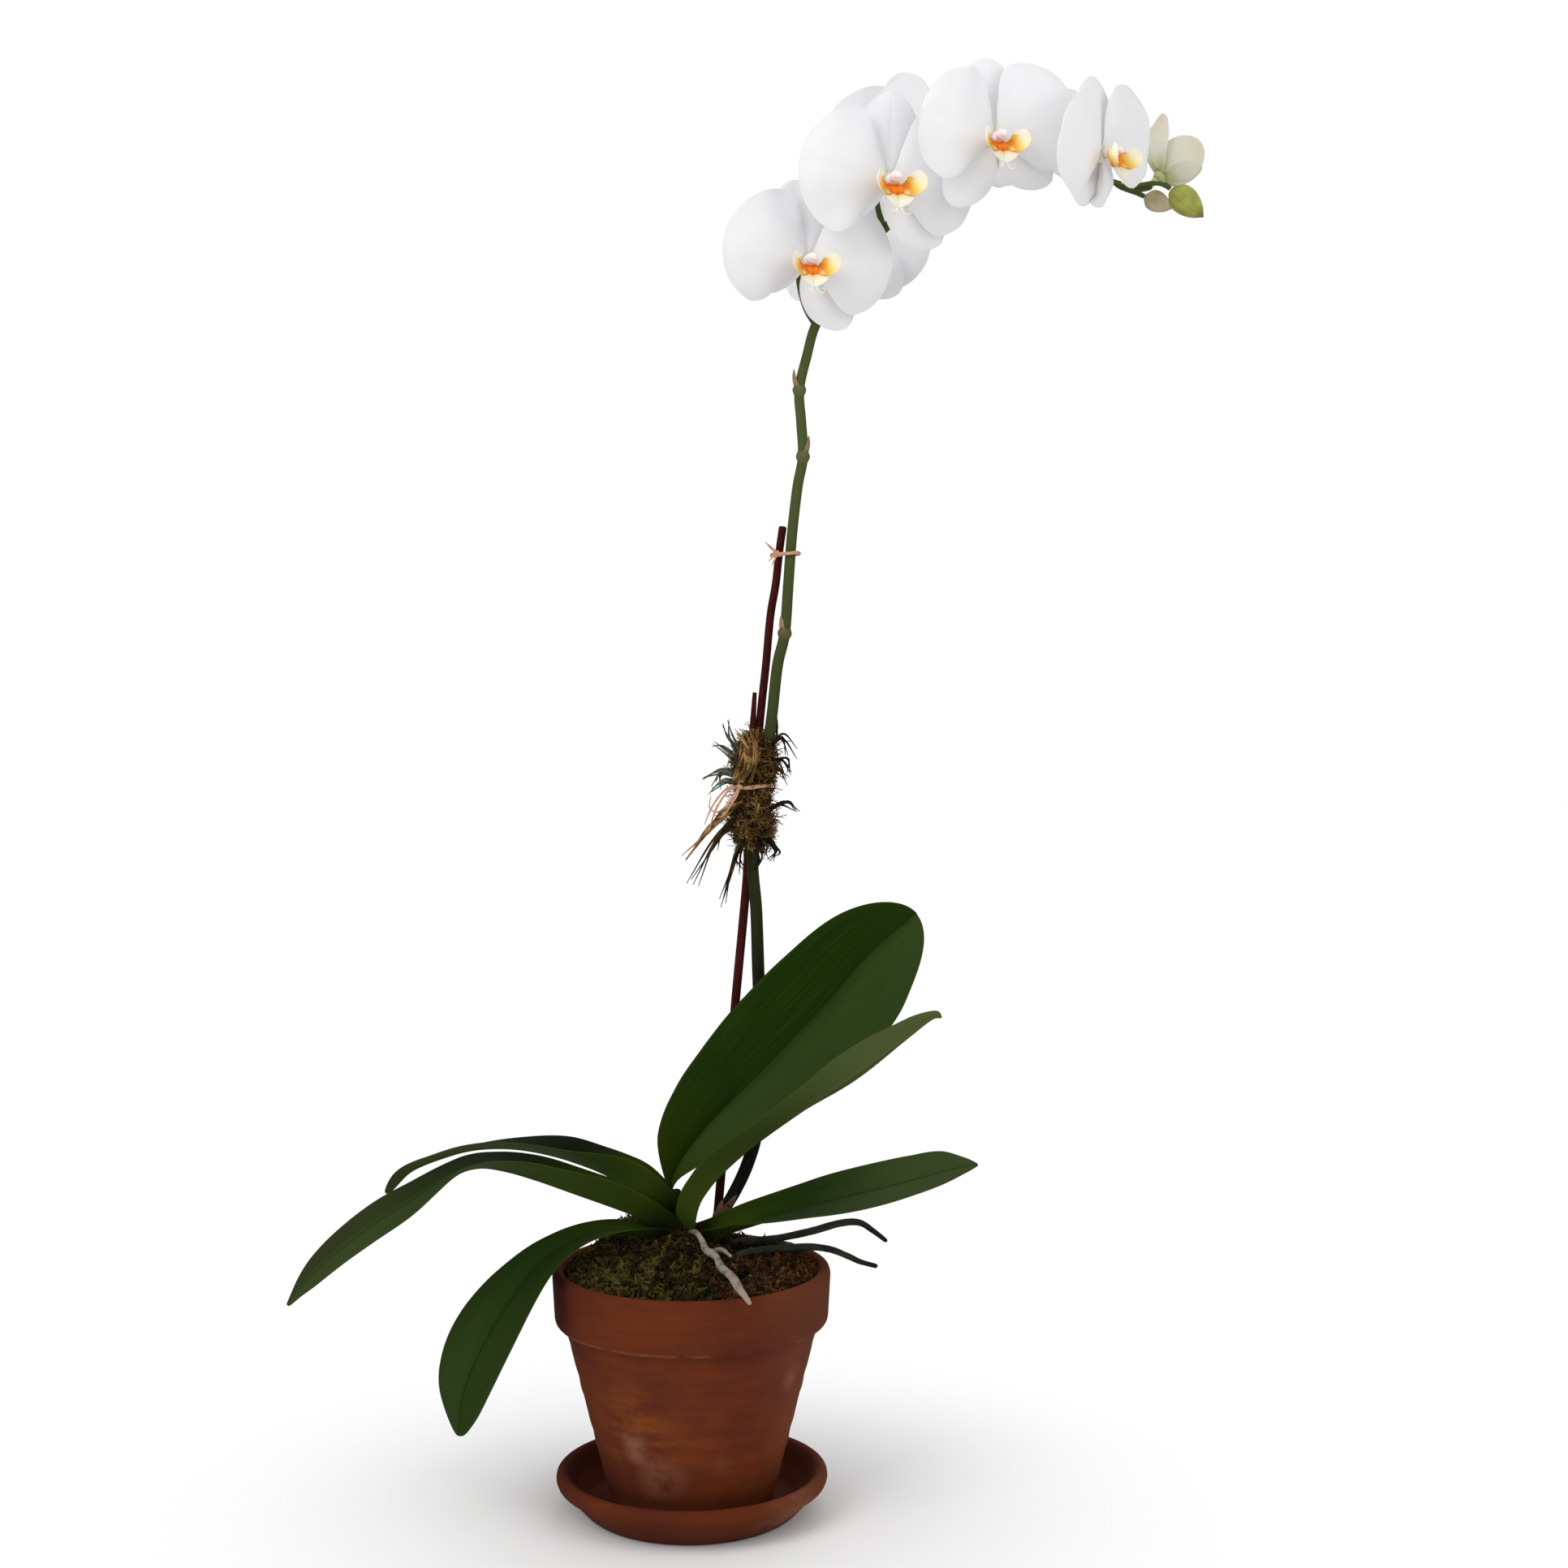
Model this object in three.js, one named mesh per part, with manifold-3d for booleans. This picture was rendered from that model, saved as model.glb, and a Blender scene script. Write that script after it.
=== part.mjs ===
// A white moth orchid in a clay pot on its saucer.
// Units are millimetres, +Z is up. The origin is the centre of the saucer's flat
// underside, and the plant is seen from the front along +Y.

import * as THREE from 'three';
import { mergeVertices } from 'three/addons/utils/BufferGeometryUtils.js';
import Module from 'manifold-3d';

const wasm = await Module();
wasm.setup();

// ---------- driving dimensions ----------

const GAP = 0.3; // clearance between pieces that touch

const SAUCER_FLOOR = 6; // thickness of the saucer's floor
const SAUCER_RIM = 76; // outer radius of the saucer's lip
const SAUCER_TOP = 24.8; // height of the saucer's lip
const SAUCER_SIDES = 32;

const POT_FOOT_Z = SAUCER_FLOOR + GAP;
const POT_TOP = 139; // top of the pot's rim
const POT_RIM = 77.5; // outer radius of the rim collar
const POT_FOOT = 45; // outer radius of the foot
const COLLAR_BOTTOM = 108; // lower edge of the rim collar
const WALL = 7; // thickness of the pot's wall
const FLOOR = 8; // thickness of the pot's floor
const DRAIN = 7; // radius of the drain hole
const POT_SIDES = 32;

const MIX_TOP = 120; // top of the potting mix
const MOSS_EDGE = 136; // height of the moss cover at the pot's rim
const MOSS_RISE = 11; // how far the moss domes up at its middle
const MOSS_RADIUS = 69;

const LEAF_THICKNESS = 2.2;
const PETAL_THICKNESS = 1;
const LIP_THICKNESS = 1.1;

const STAKE_RADIUS = 2.5;
const RAFFIA_RADIUS = 0.8;

// ---------- small helpers ----------

const vector = ([x, y, z]) => new THREE.Vector3(x, y, z);

// Smooth curve through evenly spaced stops, read at t from 0 to 1.
function along(stops, t) {
  const last = stops.length - 1;
  const i = Math.min(Math.floor(t * last), last - 1);
  const f = t * last - i;
  const a = stops[Math.max(i - 1, 0)];
  const b = stops[i];
  const c = stops[i + 1];
  const d = stops[Math.min(i + 2, last)];
  return b + 0.5 * f * (c - a + f * (2 * a - 5 * b + 4 * c - d + f * (3 * b - a - 3 * c + d)));
}

// Merges shared corners and drops the triangles that have no area.
function welded(geometry) {
  const plain = geometry.clone();
  plain.deleteAttribute('normal');
  plain.deleteAttribute('uv');
  const merged = mergeVertices(plain, 1e-4);
  const index = merged.index.array;
  const kept = [];
  for (let i = 0; i < index.length; i += 3) {
    const [a, b, c] = [index[i], index[i + 1], index[i + 2]];
    if (a !== b && b !== c && c !== a) kept.push(a, b, c);
  }
  merged.setIndex(kept);
  return merged;
}

function meshGeometry(positions, triangles) {
  const geometry = new THREE.BufferGeometry();
  geometry.setAttribute('position', new THREE.Float32BufferAttribute(positions, 3));
  geometry.setIndex(triangles);
  return geometry;
}

// Turns a closed geometry into a solid that can be joined and cut.
function solid(geometry) {
  const shell = welded(geometry);
  return new wasm.Manifold(new wasm.Mesh({
    numProp: 3,
    vertProperties: new Float32Array(shell.attributes.position.array),
    triVerts: new Uint32Array(shell.index.array),
  }));
}

// The largest body of a solid, as a geometry again.
function geometryOf(manifold) {
  const bodies = manifold.decompose();
  bodies.sort((a, b) => b.volume() - a.volume());
  const mesh = bodies[0].simplify(0.05).getMesh();
  return meshGeometry(Array.from(mesh.vertProperties), Array.from(mesh.triVerts));
}

function joined(geometries) {
  return geometries.map(solid).reduce((whole, piece) => whole.add(piece));
}

// A turned solid from [radius, height] pairs.
function lathe(profile, sides) {
  const points = profile.map(([radius, height]) => new THREE.Vector2(radius, height));
  return welded(new THREE.LatheGeometry(points, sides).rotateX(Math.PI / 2));
}

// A round bar along a smooth curve. Its radii are spread evenly from start to end.
function bar({ points, radii, sides = 6, samples = 6, grow = 0, loop = false }) {
  const curve = new THREE.CatmullRomCurve3(points.map(vector), loop, 'catmullrom', 0.5);
  const frames = curve.computeFrenetFrames(samples, loop);
  const rings = loop ? samples : samples + 1;
  const positions = [];
  const triangles = [];
  for (let i = 0; i < rings; i += 1) {
    const t = i / samples;
    const centre = curve.getPointAt(t);
    if (!loop && i === 0) centre.addScaledVector(frames.tangents[i], -grow);
    if (!loop && i === samples) centre.addScaledVector(frames.tangents[i], grow);
    const radius = along(radii, t) + grow;
    for (let k = 0; k < sides; k += 1) {
      const angle = (2 * Math.PI * k) / sides;
      const corner = centre.clone()
        .addScaledVector(frames.normals[i], radius * Math.cos(angle))
        .addScaledVector(frames.binormals[i], radius * Math.sin(angle));
      positions.push(corner.x, corner.y, corner.z);
    }
  }
  const spans = loop ? rings : rings - 1;
  for (let i = 0; i < spans; i += 1) {
    for (let k = 0; k < sides; k += 1) {
      const a = i * sides + k;
      const b = i * sides + ((k + 1) % sides);
      const c = ((i + 1) % rings) * sides + ((k + 1) % sides);
      const d = ((i + 1) % rings) * sides + k;
      triangles.push(a, b, c, a, c, d);
    }
  }
  if (!loop) {
    const end = (rings - 1) * sides;
    for (let k = 1; k < sides - 1; k += 1) {
      triangles.push(0, k + 1, k, end, end + k, end + k + 1);
    }
  }
  return meshGeometry(positions, triangles);
}

// A leaf, petal or sepal: a thin blade along a smooth spine.
//   faces       directions of its upper face at even steps from base to tip
//   left        half width on the side away from tangent x face, right on the other
//   profile     share of the half width at even steps from base to tip
//   rightShare  further share of the right half's width at even steps
//   lift        angles in degrees that both halves lift from the midrib, at even steps
//   bow         how far the edges bend back at full width
//   wave        height of the ripple along the edges
function blade(shape, grow = 0) {
  const { spine, faces, left, right, profile, rows, columns, thickness } = shape;
  const { rightShare = [1, 1], lift = [0, 0], bow = 0, wave = 0, crowd = 1 } = shape;
  const curve = new THREE.CatmullRomCurve3(spine.map(vector), false, 'catmullrom', 0.5);
  const half = thickness / 2 + grow;
  const upper = [];
  const lower = [];
  for (let i = 0; i <= rows; i += 1) {
    const t = 1 - (1 - i / rows) ** crowd;
    const tangent = curve.getTangentAt(t);
    const centre = curve.getPointAt(t);
    if (i === 0) centre.addScaledVector(tangent, -grow);
    if (i === rows) centre.addScaledVector(tangent, grow);
    const face = vector([0, 1, 2].map((axis) => along(faces.map((way) => way[axis]), t))).normalize();
    const side = tangent.clone().cross(face).normalize();
    const up = side.clone().cross(tangent).normalize();
    const angle = THREE.MathUtils.degToRad(along(lift, t));
    const share = along(profile, t);
    const rightReach = right * along(rightShare, t);
    for (let j = 0; j <= columns; j += 1) {
      const v = (2 * j) / columns - 1;
      const reach = (v < 0 ? left : rightReach) * share * v + Math.sign(v) * grow * Math.abs(v);
      const ripple = wave * v * v * Math.sin(9 * t + 2 * v);
      const rise = Math.abs(reach) * Math.sin(angle) - bow * share * v * v + ripple;
      const middle = centre.clone()
        .addScaledVector(side, reach * Math.cos(angle))
        .addScaledVector(up, rise);
      upper.push(...middle.clone().addScaledVector(up, half).toArray());
      lower.push(...middle.clone().addScaledVector(up, -half).toArray());
    }
  }
  return bladeFaces(upper, lower, rows, columns);
}

// Closes the two faces of a blade with a rim all round.
function bladeFaces(upper, lower, rows, columns) {
  const across = columns + 1;
  const under = (rows + 1) * across;
  const triangles = [];
  for (let i = 0; i < rows; i += 1) {
    for (let j = 0; j < columns; j += 1) {
      const a = i * across + j;
      const [b, c, d] = [a + 1, a + across + 1, a + across];
      triangles.push(a, b, c, a, c, d);
      triangles.push(under + a, under + c, under + b, under + a, under + d, under + c);
    }
  }
  const rim = [];
  for (let j = 0; j < columns; j += 1) rim.push(j);
  for (let i = 0; i < rows; i += 1) rim.push(i * across + columns);
  for (let j = columns; j > 0; j -= 1) rim.push(rows * across + j);
  for (let i = rows; i > 0; i -= 1) rim.push(i * across);
  rim.forEach((p, n) => {
    const q = rim[(n + 1) % rim.length];
    triangles.push(under + p, under + q, q, under + p, q, p);
  });
  return meshGeometry([...upper, ...lower], triangles);
}

// ---------- clay pot and saucer ----------

const saucerProfile = [
  [0, 0], [57, 0], [60.5, 2.5], [70.5, 13.5], [74.5, 15.5], [SAUCER_RIM, 19],
  [75.6, 22.6], [73, SAUCER_TOP], [70, 24], [68, 21], [64, 13.5], [57.5, 7],
  [54, SAUCER_FLOOR], [0, SAUCER_FLOOR],
];

// Outer radius of the pot's tapered body at a height.
const bodyRadius = (z) => POT_FOOT + 0.253 * (z - POT_FOOT_Z);

const potProfile = [
  [DRAIN, POT_FOOT_Z], [POT_FOOT - 2, POT_FOOT_Z], [POT_FOOT, POT_FOOT_Z + 1.5],
  [bodyRadius(COLLAR_BOTTOM - 4), COLLAR_BOTTOM - 4],
  [POT_RIM - 2, COLLAR_BOTTOM + 1], [POT_RIM - 1.3, COLLAR_BOTTOM + 3], [POT_RIM, POT_TOP - 4],
  [POT_RIM - 0.9, POT_TOP - 1], [POT_RIM - 3, POT_TOP],
  [POT_RIM - 5.6, POT_TOP - 0.6], [POT_RIM - 7, POT_TOP - 3],
  [POT_RIM - 7.6, COLLAR_BOTTOM], [bodyRadius(COLLAR_BOTTOM - 12) - WALL, COLLAR_BOTTOM - 12],
  [bodyRadius(POT_FOOT_Z + FLOOR + 4) - WALL, POT_FOOT_Z + FLOOR + 4],
  [bodyRadius(POT_FOOT_Z + FLOOR) - WALL - 4, POT_FOOT_Z + FLOOR], [DRAIN, POT_FOOT_Z + FLOOR],
  [DRAIN, POT_FOOT_Z],
];

const mixProfile = [
  [0, POT_FOOT_Z + FLOOR + GAP],
  [bodyRadius(POT_FOOT_Z + FLOOR) - WALL - 4.4, POT_FOOT_Z + FLOOR + GAP],
  [bodyRadius(POT_FOOT_Z + FLOOR + 4) - WALL - GAP - 0.1, POT_FOOT_Z + FLOOR + 4.4],
  [bodyRadius(COLLAR_BOTTOM - 12) - WALL - GAP - 0.1, COLLAR_BOTTOM - 12],
  [MOSS_RADIUS, COLLAR_BOTTOM + 1], [MOSS_RADIUS, MIX_TOP], [0, MIX_TOP],
];

// Height of the moss cover, with its tufts and hollows.
function mossHeight(x, y) {
  const share = Math.min(Math.hypot(x, y) / MOSS_RADIUS, 1);
  const tufts = 1.5 * Math.sin(x / 4.1 + 1) * Math.cos(y / 4.7) + 1.1 * Math.sin(x / 7.3 - y / 5.9);
  const hump = 9 * Math.exp(-(((x + 38) / 20) ** 2) - ((y - 42) / 16) ** 2);
  return MOSS_EDGE + MOSS_RISE * (1 - share * share) + (tufts + hump) * (1 - share ** 6);
}

// The moss cover: rings of tufted ground over a flat underside. Each ring is turned
// half a step from the last one.
function mossGeometry() {
  const rings = 6;
  const sides = 24;
  const underside = MIX_TOP + GAP;
  const corners = [];
  for (let i = 1; i <= rings; i += 1) {
    for (let k = 0; k < sides; k += 1) {
      const angle = (2 * Math.PI * (k + 0.5 * (i % 2))) / sides;
      const radius = (MOSS_RADIUS * i) / rings;
      const [x, y] = [radius * Math.cos(angle), radius * Math.sin(angle)];
      corners.push(x, y, mossHeight(x, y));
    }
  }
  const ring = (i, k) => (i - 1) * sides + ((k + sides) % sides);
  const triangles = [];
  for (let i = 1; i < rings; i += 1) {
    for (let k = 0; k < sides; k += 1) {
      const [a, b] = [ring(i, k), ring(i, k + 1)];
      const [c, d] = [ring(i + 1, k), ring(i + 1, k + 1)];
      if (i % 2) triangles.push(a, d, b, a, c, d);
      else triangles.push(a, c, b, b, c, d);
    }
  }
  const crown = corners.length / 3;
  corners.push(0, 0, mossHeight(0, 0));
  for (let k = 0; k < sides; k += 1) triangles.push(crown, ring(1, k), ring(1, k + 1));
  const base = crown + 1;
  for (let k = 0; k < sides; k += 1) {
    const at = 3 * ring(rings, k);
    corners.push(corners[at], corners[at + 1], underside);
  }
  const bottom = base + sides;
  corners.push(0, 0, underside);
  for (let k = 0; k < sides; k += 1) {
    const next = (k + 1) % sides;
    const [a, b] = [ring(rings, k), ring(rings, k + 1)];
    triangles.push(a, base + k, base + next, a, base + next, b);
    triangles.push(bottom, base + next, base + k);
  }
  return meshGeometry(corners, triangles);
}

// ---------- leaves ----------

const leafProfile = [0.3, 0.46, 0.68, 0.86, 0.97, 1, 0.96, 0.82, 0.56, 0.1];
const leafGrid = { profile: leafProfile, rows: 11, columns: 4, thickness: LEAF_THICKNESS };

const leaves = {
  leaf_upright: {
    ...leafGrid,
    spine: [
      [-10, 3, 187], [-4.5, 3.5, 200], [5, 4.5, 212], [17, 6, 225.5], [30, 8, 238.5], [47, 10, 255.5],
      [75, 13, 285], [98, 12, 312], [125, 7, 336],
    ],
    faces: [[0, -1, 0.15], [-0.1, -1, 0.1], [0, -1, 0.1], [0, -1, 0.1]],
    left: 36,
    right: 38,
    rightShare: [0.5, 0.5, 0.61, 0.73, 0.83, 0.92, 1, 1.06, 1.08, 1.08],
    lift: [24, 13, 11, 11],
    profile: [0.25, 0.68, 0.82, 0.92, 0.98, 1, 0.97, 0.88, 0.67, 0.2],
  },
  leaf_narrow: {
    ...leafGrid,
    spine: [
      [2, -12, 168], [4, -14, 176], [9, -17, 185.5], [17.5, -21, 196.5], [34, -27, 212.5],
      [60, -33, 232.5], [89, -36, 252.5], [115, -36, 271.5], [131, -34, 283], [137, -33, 284],
    ],
    faces: [[-0.6, 0.6, 0.4], [-0.68, 0.42, 0.5], [-0.68, 0.58, 0.5], [-0.6, 0.6, 0.6]],
    left: 13,
    right: 23,
    lift: [40, 30, 18, 15, 15, 15],
    profile: [0.42, 0.5, 0.56, 0.66, 0.67, 0.68, 0.76, 0.9, 0.78, 0.52, 0.12],
  },
  leaf_left_upper: {
    ...leafGrid,
    spine: [
      [-14, 4, 171], [-20, 5, 173.5], [-31, 9.5, 180], [-44, 16, 185], [-57.5, 24, 189.3], [-80, 35, 194],
      [-103, 44, 196], [-125, 50, 194.4], [-144, 54.5, 189], [-165, 58, 179.5], [-179, 60, 165],
    ],
    faces: [
      [0.5, 0, 0.8], [0.3, 0, 0.9], [0.1, 0, 1], [0, 0.16, 1], [-0.3, 0.2, 0.9], [-0.6, 0.2, 0.75],
    ],
    left: 24,
    right: 21,
    lift: [50, 48, 30, 20, 10, 6, 6, 6],
    profile: [0.4, 0.6, 0.82, 0.94, 1, 1, 0.96, 0.88, 0.72, 0.12],
  },
  leaf_left_long: {
    ...leafGrid,
    spine: [
      [-15, -5, 160.5], [-22, -7.5, 165], [-35, -13, 173], [-63.6, -28, 187.5], [-83.6, -36, 196.7],
      [-99.6, -42, 202.8], [-113, -46, 205.2], [-126, -49.5, 201.5], [-147, -54, 188],
      [-167.5, -56, 175.5], [-188, -57, 160], [-204.5, -57, 144.6], [-214.5, -57, 132],
    ],
    faces: [
      [0.5, 0, 0.8], [0.35, 0.08, 0.92], [0.1, -0.02, 1], [-0.1, 0.04, 1], [-0.55, -0.3, 0.75],
      [-0.62, -0.36, 0.62], [-0.62, -0.36, 0.62],
    ],
    left: 21.5,
    right: 19,
    lift: [44, 46, 42, 28, 10, 8, 7, 7, 7],
    profile: [0.36, 0.56, 0.8, 0.95, 1, 1, 0.98, 0.94, 0.86, 0.72, 0.12],
  },
  leaf_left_low: {
    ...leafGrid,
    spine: [
      [-13, -5, 157], [-50, -14, 160], [-74, -24, 152], [-93, -34, 134], [-110, -42, 108],
      [-121, -46, 83], [-125, -46, 57],
    ],
    faces: [[0, 0.02, 1], [-0.85, -0.72, 0.1]],
    left: 28,
    right: 28,
    lift: [12, 8, 7, 7],
    profile: [0.3, 0.37, 0.46, 0.58, 0.75, 0.92, 1, 0.94, 0.7, 0.12],
  },
  leaf_right: {
    ...leafGrid,
    spine: [
      [2, -1, 155], [16, -6, 158], [40, -12, 167], [67, -20, 177], [93, -26, 185],
      [120, -30, 193], [140, -32, 199], [157, -33, 203],
    ],
    faces: [[-0.35, -0.1, 0.9], [-0.25, -0.2, 0.95]],
    left: 27,
    right: 27,
    lift: [14, 9, 7, 7],
    profile: [0.3, 0.46, 0.68, 0.86, 0.97, 1, 0.98, 0.92, 0.78, 0.2],
  },
};

const crownBar = {
  points: [[-6, 0, 138], [-7, 0, 152], [-7, 0, 166], [-8, 0, 178], [-9, 0, 187]],
  radii: [9, 11, 11, 9, 3.5],
  sides: 12,
  samples: 6,
};

// ---------- flower spike ----------

const spikePath = [
  [4, 9, 148], [10, 12, 155], [16, 15, 164], [24, 16, 177], [31, 18, 192], [36, 21, 210],
  [38, 24, 239], [38, 25, 271], [37, 24, 304], [36, 21, 336], [34, 19, 364], [37, 18, 391],
  [42, 16, 423], [45, 15, 446], [48, 14, 473], [52, 13, 491], [54, 12, 518], [56, 11, 545],
  [59, 10, 571], [62, 9, 588], [61, 8, 607], [60, 7, 624], [64, 6, 642], [69, 5, 659],
  [79, 4, 673], [89, 3, 686], [97, 2, 698], [106, 0, 710], [119, 0, 720], [133, 0, 729],
  [146, 0, 738], [160, 1, 744], [177, 3, 747], [195, 7, 748], [208, 10, 745], [227, 14, 739],
  [242, 16, 735],
];
const spikeRadii = [3.3, 3.7, 3.6, 3.4, 3.2, 3.1, 2.9, 2.8, 2.6, 2.4, 2, 1.5];

const spikeBar = { points: spikePath, radii: spikeRadii, sides: 6, samples: 40 };

// Swollen nodes: [centre, direction of the stem, direction of the bract, stem radius].
const nodes = [
  [[52, 13, 491], [0.15, 0, 1], [-0.9, -0.3, 0.3], 3],
  [[62, 9, 588], [0.02, 0, 1], [0.9, -0.2, 0.3], 2.9],
  [[60, 7, 624], [0, 0, 1], [-0.9, -0.2, 0.3], 2.8],
];

// ---------- blooms ----------

// hub is the centre of the bloom. yaw turns its face to the viewer's right and pitch tips
// it down. turns are the directions of its tepals in degrees clockwise from up, for one
// who looks into the bloom: upper sepal, right and left petal, right and left lower sepal.
// cup is how far the tips of its petals come forward. stalk is where its pedicel leaves
// the spike, and lead is the direction in which it leaves.
const blooms = [
  {
    hub: [64, -26, 689], yaw: 15, pitch: 6, size: 1, cup: -1,
    turns: [-10, 84, -72, 144, -98], stalk: [69, 5, 659], lead: [-0.6, -0.5, 0.6],
  },
  {
    hub: [107, -37, 729.5], yaw: 18, pitch: 6, size: 1.07, cup: -1,
    turns: [2, 80, -80, 134, -106], stalk: [106, 0, 710], lead: [-0.3, -0.5, 0.6],
  },
  {
    hub: [162.5, -39, 751], yaw: 18, pitch: 6, size: 0.97, cup: 5,
    turns: [-9, 60, -74, 118, -148], stalk: [164, 1.4, 745], lead: [0.4, -0.6, 0.5],
  },
  {
    hub: [219, -34, 744], yaw: 50, pitch: 6, size: 0.93, cup: 2, fall: 31,
    turns: [-14, 60, -84, 152, -160], stalk: [208, 10, 745], lead: [0.1, -0.7, 0.5],
  },
  {
    hub: [86, 29, 706], yaw: 172, pitch: 6, size: 1, cup: 0,
    turns: [5, 82, -80, 136, -134], stalk: [89, 3, 686], lead: [0, 0.5, 0.7],
  },
  {
    hub: [120, 48, 759], yaw: 178, pitch: 4, size: 1.02, cup: 2,
    turns: [0, 70, -78, 138, -140], stalk: [127, 0, 725], lead: [0, 0.5, 0.8],
  },
  {
    hub: [192, 32, 762], yaw: 186, pitch: 10, size: 0.9, cup: 1,
    turns: [6, 86, -78, 128, -118], stalk: [183, 4.5, 747.5], lead: [0, 0.6, 0.6],
  },
];

const STEM_SEAT = 9; // distance from a bloom's centre back to the end of its neck

const petalShape = {
  profile: [0.13, 0.5, 0.84, 0.98, 0.97, 0.86, 0.66, 0.18],
  faces: [[0, 0, 1], [0, 0, 1]],
  bow: 3,
  wave: 0.8,
  crowd: 1.4,
  rows: 5,
  columns: 4,
  thickness: PETAL_THICKNESS,
};

const sepalShape = {
  profile: [0.36, 0.7, 0.93, 1, 0.92, 0.66, 0.16],
  faces: [[0, 0, 1], [0, 0, 1]],
  bow: 2,
  crowd: 1.25,
  rows: 4,
  columns: 2,
  thickness: PETAL_THICKNESS,
};

// A tepal that points turn degrees clockwise from up. heights are its spine's heights
// over the bloom's plane, spread from reach 2 to its length.
function tepal(shape, turn, length, heights, widths) {
  const angle = THREE.MathUtils.degToRad(turn);
  const spine = heights.map((height, i) => {
    const reach = 2 + ((length - 2) * i) / (heights.length - 1);
    return [reach * Math.sin(angle), reach * Math.cos(angle), height];
  });
  return blade({ ...shape, spine, left: widths[0], right: widths[1] });
}

// Broad petals in front, with their wider half on the upper side.
const petal = (turn, cup) => tepal(
  petalShape,
  turn,
  47.5,
  [1.2, 4.2, 5 + cup / 4, 4 + cup / 2, 1.5 + cup],
  turn > 0 ? [31, 30] : [30, 31],
);

const sepal = (turn, length, width) => tepal(
  sepalShape,
  turn,
  length,
  [-0.5, -1.8, -2.8, -5],
  [width, width],
);

const columnBar = {
  points: [[0, 0.5, 1], [0, 1.4, 7], [0, 1.6, 12]],
  radii: [3.2, 3, 2.4],
  sides: 6,
  samples: 2,
};

const neckBar = {
  points: [[0, 0, -3], [0, 0, -6], [0, 0, -STEM_SEAT]],
  radii: [3.8, 2.8, 2.2],
  sides: 6,
  samples: 2,
};

const hubBall = () => new THREE.IcosahedronGeometry(5.6, 0).translate(0, 0, -1);

// Five tepals, the hub, the neck behind it and the white column in front.
function bloomBody({ cup, turns, fall = 42 }) {
  return geometryOf(joined([
    hubBall(), bar(neckBar), bar(columnBar), sepal(turns[0], 43, 16),
    sepal(turns[3], fall, 14.5), sepal(turns[4], fall, 14.5), petal(turns[1], cup), petal(turns[2], cup),
  ]));
}

// The lip: an arrow-shaped middle lobe with two tendrils, two side lobes that stand up
// round the column, and the callus between them.
function bloomLip() {
  const middle = blade({
    spine: [[0, -2.25, 5.8], [0, -6.5, 10.5], [0, -10, 15], [0, -15.5, 17]],
    faces: [[0, 1, 0.2], [0, 0.45, 0.9]],
    left: 7.5,
    right: 7.5,
    profile: [0.4, 0.45, 0.75, 1, 0.72, 0.3],
    lift: [18, 18],
    rows: 3,
    columns: 2,
    thickness: LIP_THICKNESS,
  });
  const sideLobe = (sign) => blade({
    spine: [
      [sign * 2.6, -5, 9], [sign * 7.4, -4, 11.5], [sign * 10.6, -0.5, 14], [sign * 10.4, 4.8, 15.5],
    ],
    faces: [[-sign * 0.7, 0.8, 0.5], [-sign * 0.8, -0.1, 0.7]],
    left: 6,
    right: 6,
    profile: [0.5, 0.85, 1, 0.9, 0.45],
    rows: 3,
    columns: 2,
    thickness: LIP_THICKNESS,
  });
  const tendril = (sign) => bar({
    points: [[sign * 1, -14.8, 16.7], [sign * 2.4, -18.5, 17.8], [sign * 4.6, -18.5, 21]],
    radii: [0.8, 0.6, 0.45],
    sides: 3,
    samples: 2,
  });
  const callus = new THREE.OctahedronGeometry(2.1, 0).translate(0, -5.2, 9.5);
  const lip = joined([middle, sideLobe(1), sideLobe(-1), tendril(1), tendril(-1), callus]);
  return geometryOf(lip);
}

// How a bloom is turned: its own Z is its face, its own Y is up.
function stance({ yaw, pitch }) {
  const radians = THREE.MathUtils.degToRad;
  const turn = new THREE.Euler(Math.PI / 2 + radians(pitch), 0, radians(yaw), 'ZYX');
  return new THREE.Quaternion().setFromEuler(turn);
}

// A stalk that leaves the spike along lead and ends just behind its flower, square to
// the direction in which the flower points.
function stalkBar(start, lead, end, facing, radii) {
  const from = vector(start);
  const seat = end.clone().addScaledVector(facing, -GAP * 1.3);
  const reach = from.distanceTo(seat) * 0.42;
  const curve = new THREE.CubicBezierCurve3(
    from,
    from.clone().addScaledVector(vector(lead).normalize(), reach),
    seat.clone().addScaledVector(facing, -reach),
    seat,
  );
  const points = curve.getPoints(5).slice(0, 5).map((point) => point.toArray());
  points.push(seat.clone().addScaledVector(facing, -1.6).toArray(), seat.toArray());
  return bar({ points, radii, sides: 5, samples: 5 });
}

function pedicel(bloom) {
  const facing = vector([0, 0, 1]).applyQuaternion(stance(bloom));
  const end = vector(bloom.hub).addScaledVector(facing, -STEM_SEAT * bloom.size);
  return stalkBar(bloom.stalk, bloom.lead, end, facing, [1.9, 1.6, 1.5, 1.6, 2]);
}

// ---------- the opening bloom and the buds at the tip ----------

const openingBloom = {
  hub: [257.6, 15, 740], yaw: 115, pitch: -37, size: 0.84,
  stalk: [238, 15.4, 736], lead: [0.8, 0, -0.4],
};

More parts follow.
